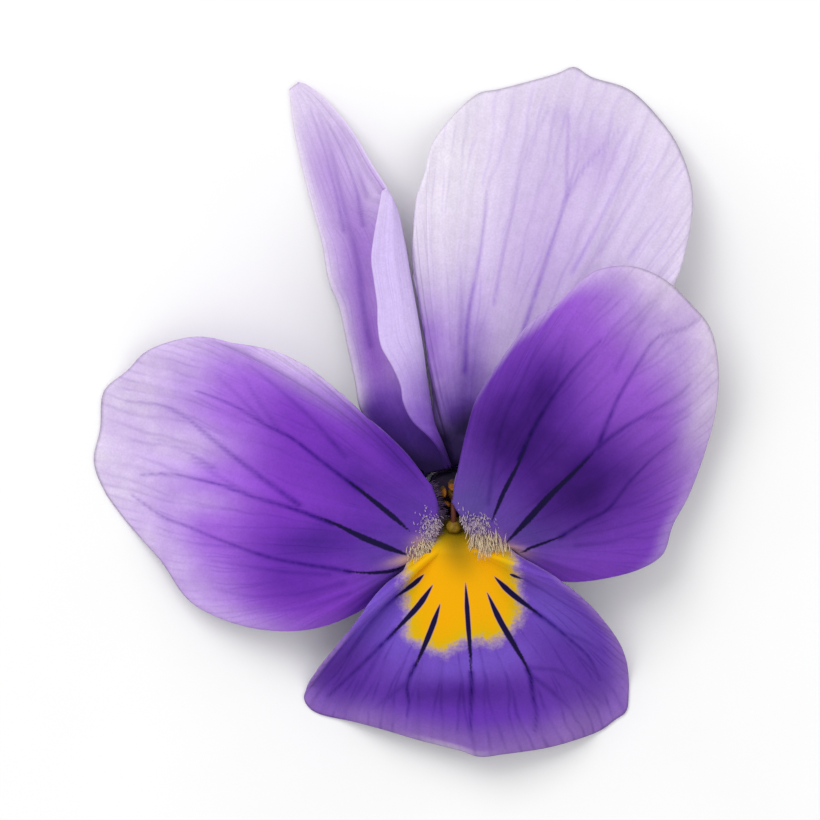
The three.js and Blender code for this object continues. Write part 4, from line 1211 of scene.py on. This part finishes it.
def cup_and_stalk():
    def cup_rings():
        profile = smooth_line([(0.05, 1.75, 0), (0.5, 1.8, 0), (0.86, 2.1, 0), (1.0, 2.5, 0),
                               (0.98, 2.85, 0), (0.8, 3.02, 0), (0.45, 3.08, 0), (0.05, 3.1, 0)], 8)
        turn = np.linspace(0, 2 * np.pi, 60, endpoint=False)[None, :]
        ribs = 1 + 0.03 * np.cos(5 * turn) + 0.01 * np.cos(15 * turn)
        size = profile[:, :1] * ribs
        return np.stack([CUP[0] + size * np.cos(turn), CUP[1] + size * np.sin(turn),
                         profile[:, 1:2] + 0 * turn], -1)

    def radius(share, turn):
        ribs = 1 + 0.05 * np.cos(4 * turn) + 0.02 * np.cos(9 * turn + 3 * share)
        torn = 1 - 0.25 * fade(share, 0.97, 1) * (1 + np.sin(5 * turn))
        return 0.4 * ribs * (1 - 0.08 * np.sin(np.pi * share)) * torn

    path = [(1.88, -3.2, 2.5), (1.9, -2.9, 1.5), (2.3, -1.6, 0.75), (3.1, 0.6, 0.5)]
    material, n, shader = new_material("stalk_green")
    skin = n.noise(n.place(), 3500.0, 4.0, 0.6)
    shade = n.mix(n.ramp(skin, 0.3, 0.7), colour("5c8436"), colour("7fa653"))
    # Painted shade: near black violet on the cup's rim and top, which lie in the throat's shadow.
    shade = n.mix(n.ramp(n.attribute("top"), 0.3, 0.7), shade, colour("281a3a"))
    shader.inputs["Specular IOR Level"].default_value = 0.12
    shade = n.mix(n.ramp(n.attribute("torn"), 0.4, 0.9), shade, colour("c8cfa0"))
    n.join(shader.inputs["Base Color"], shade)
    bump = n.add("ShaderNodeBump", {"Strength": 0.4, "Distance": 0.00004, "Height": skin})
    n.join(shader.inputs["Normal"], bump.outputs[0])
    n.join(shader.inputs["Roughness"], n.ramp(skin, 0.2, 0.8, 0.4, 0.55))
    cup_points, cup_faces, cup_marks = ring_shape(cup_rings())
    # top marks where the cup carries the painted shade.
    cup_marks |= {"top": fade(cup_points[:, 2], 2.45, 2.75), "torn": np.zeros(len(cup_points))}
    stem_points, stem_faces, stem_marks = ring_shape(tube_rings(path, radius, 70, 36))
    stem_marks |= {"top": np.zeros(len(stem_points)), "torn": fade(stem_marks["way"], 0.965, 0.995)}
    shapes = [(cup_points, cup_faces, cup_marks), (stem_points, stem_faces, stem_marks)]
    return finish(make_mesh("cup_and_stalk", shapes), "flower_stalk", material)


left_surface = spread_petal(LEFT, left_relief)
right_surface = spread_petal(RIGHT, right_relief)
left_petal(left_surface)
right_petal(right_surface)
back_right_petal()
rolled_left_petal()
lower_petal()
spur()
beards(left_surface, right_surface)
stamens()
pistil()
sepals()
cup_and_stalk()


# Camera, light and surface

PHOTO_SIDE = 820  # pixels
PIXEL = 0.04  # millimetres to a pixel, at the middle height of the petals
VIEW_MIDDLE = (0.16, 0.06)
VIEW_HEIGHT = 3.0
CAMERA_DISTANCE = 600.0
SENSOR = 36.0
WORLD_LIGHT = 0.66
LAMPS = [((-120, 160, 260), 220, 0.48), ((160, -60, 300), 240, 0.16)]  # place, side, watts


def camera():
    data = bpy.data.cameras.new("camera")
    data.sensor_width = SENSOR
    data.lens = SENSOR * CAMERA_DISTANCE / (PHOTO_SIDE * PIXEL)
    data.clip_start = 0.01
    data.clip_end = 10
    eye = bpy.data.objects.new("camera", data)
    eye.location = (VIEW_MIDDLE[0] * MM, VIEW_MIDDLE[1] * MM, (VIEW_HEIGHT + CAMERA_DISTANCE) * MM)
    bpy.context.scene.collection.objects.link(eye)
    bpy.context.scene.camera = eye


def surface():
    side = 400.0
    corners = np.array([(-side, -side, 0), (side, -side, 0), (side, side, 0), (-side, side, 0)])
    floor = make_mesh("surface", [(corners, [[0, 1, 2, 3]], {})], smooth=False)
    material, n, shader = new_material("surface")
    grain = n.noise(n.place(), 60.0, 3.0)
    n.join(shader.inputs["Base Color"], n.mix(n.ramp(grain, 0.3, 0.7), colour("f7f7f7"), colour("fafafa")))
    shader.inputs["Roughness"].default_value = 0.9
    shader.inputs["Specular IOR Level"].default_value = 0.1
    floor.data.materials.append(material)


def lights():
    world = bpy.data.worlds.new("studio")
    world.use_nodes = True
    world.node_tree.nodes["Background"].inputs[0].default_value = (1, 1, 1, 1)
    world.node_tree.nodes["Background"].inputs[1].default_value = WORLD_LIGHT
    bpy.context.scene.world = world
    for place, size, power in LAMPS:
        lamp = bpy.data.lights.new("softbox", "AREA")
        lamp.size = size * MM
        lamp.energy = power
        box = bpy.data.objects.new("softbox", lamp)
        box.location = Vector(place) * MM
        box.rotation_euler = (-Vector(place)).to_track_quat("-Z", "Y").to_euler()
        bpy.context.scene.collection.objects.link(box)
    bpy.context.scene.view_settings.view_transform = "Standard"


camera()
surface()
lights()
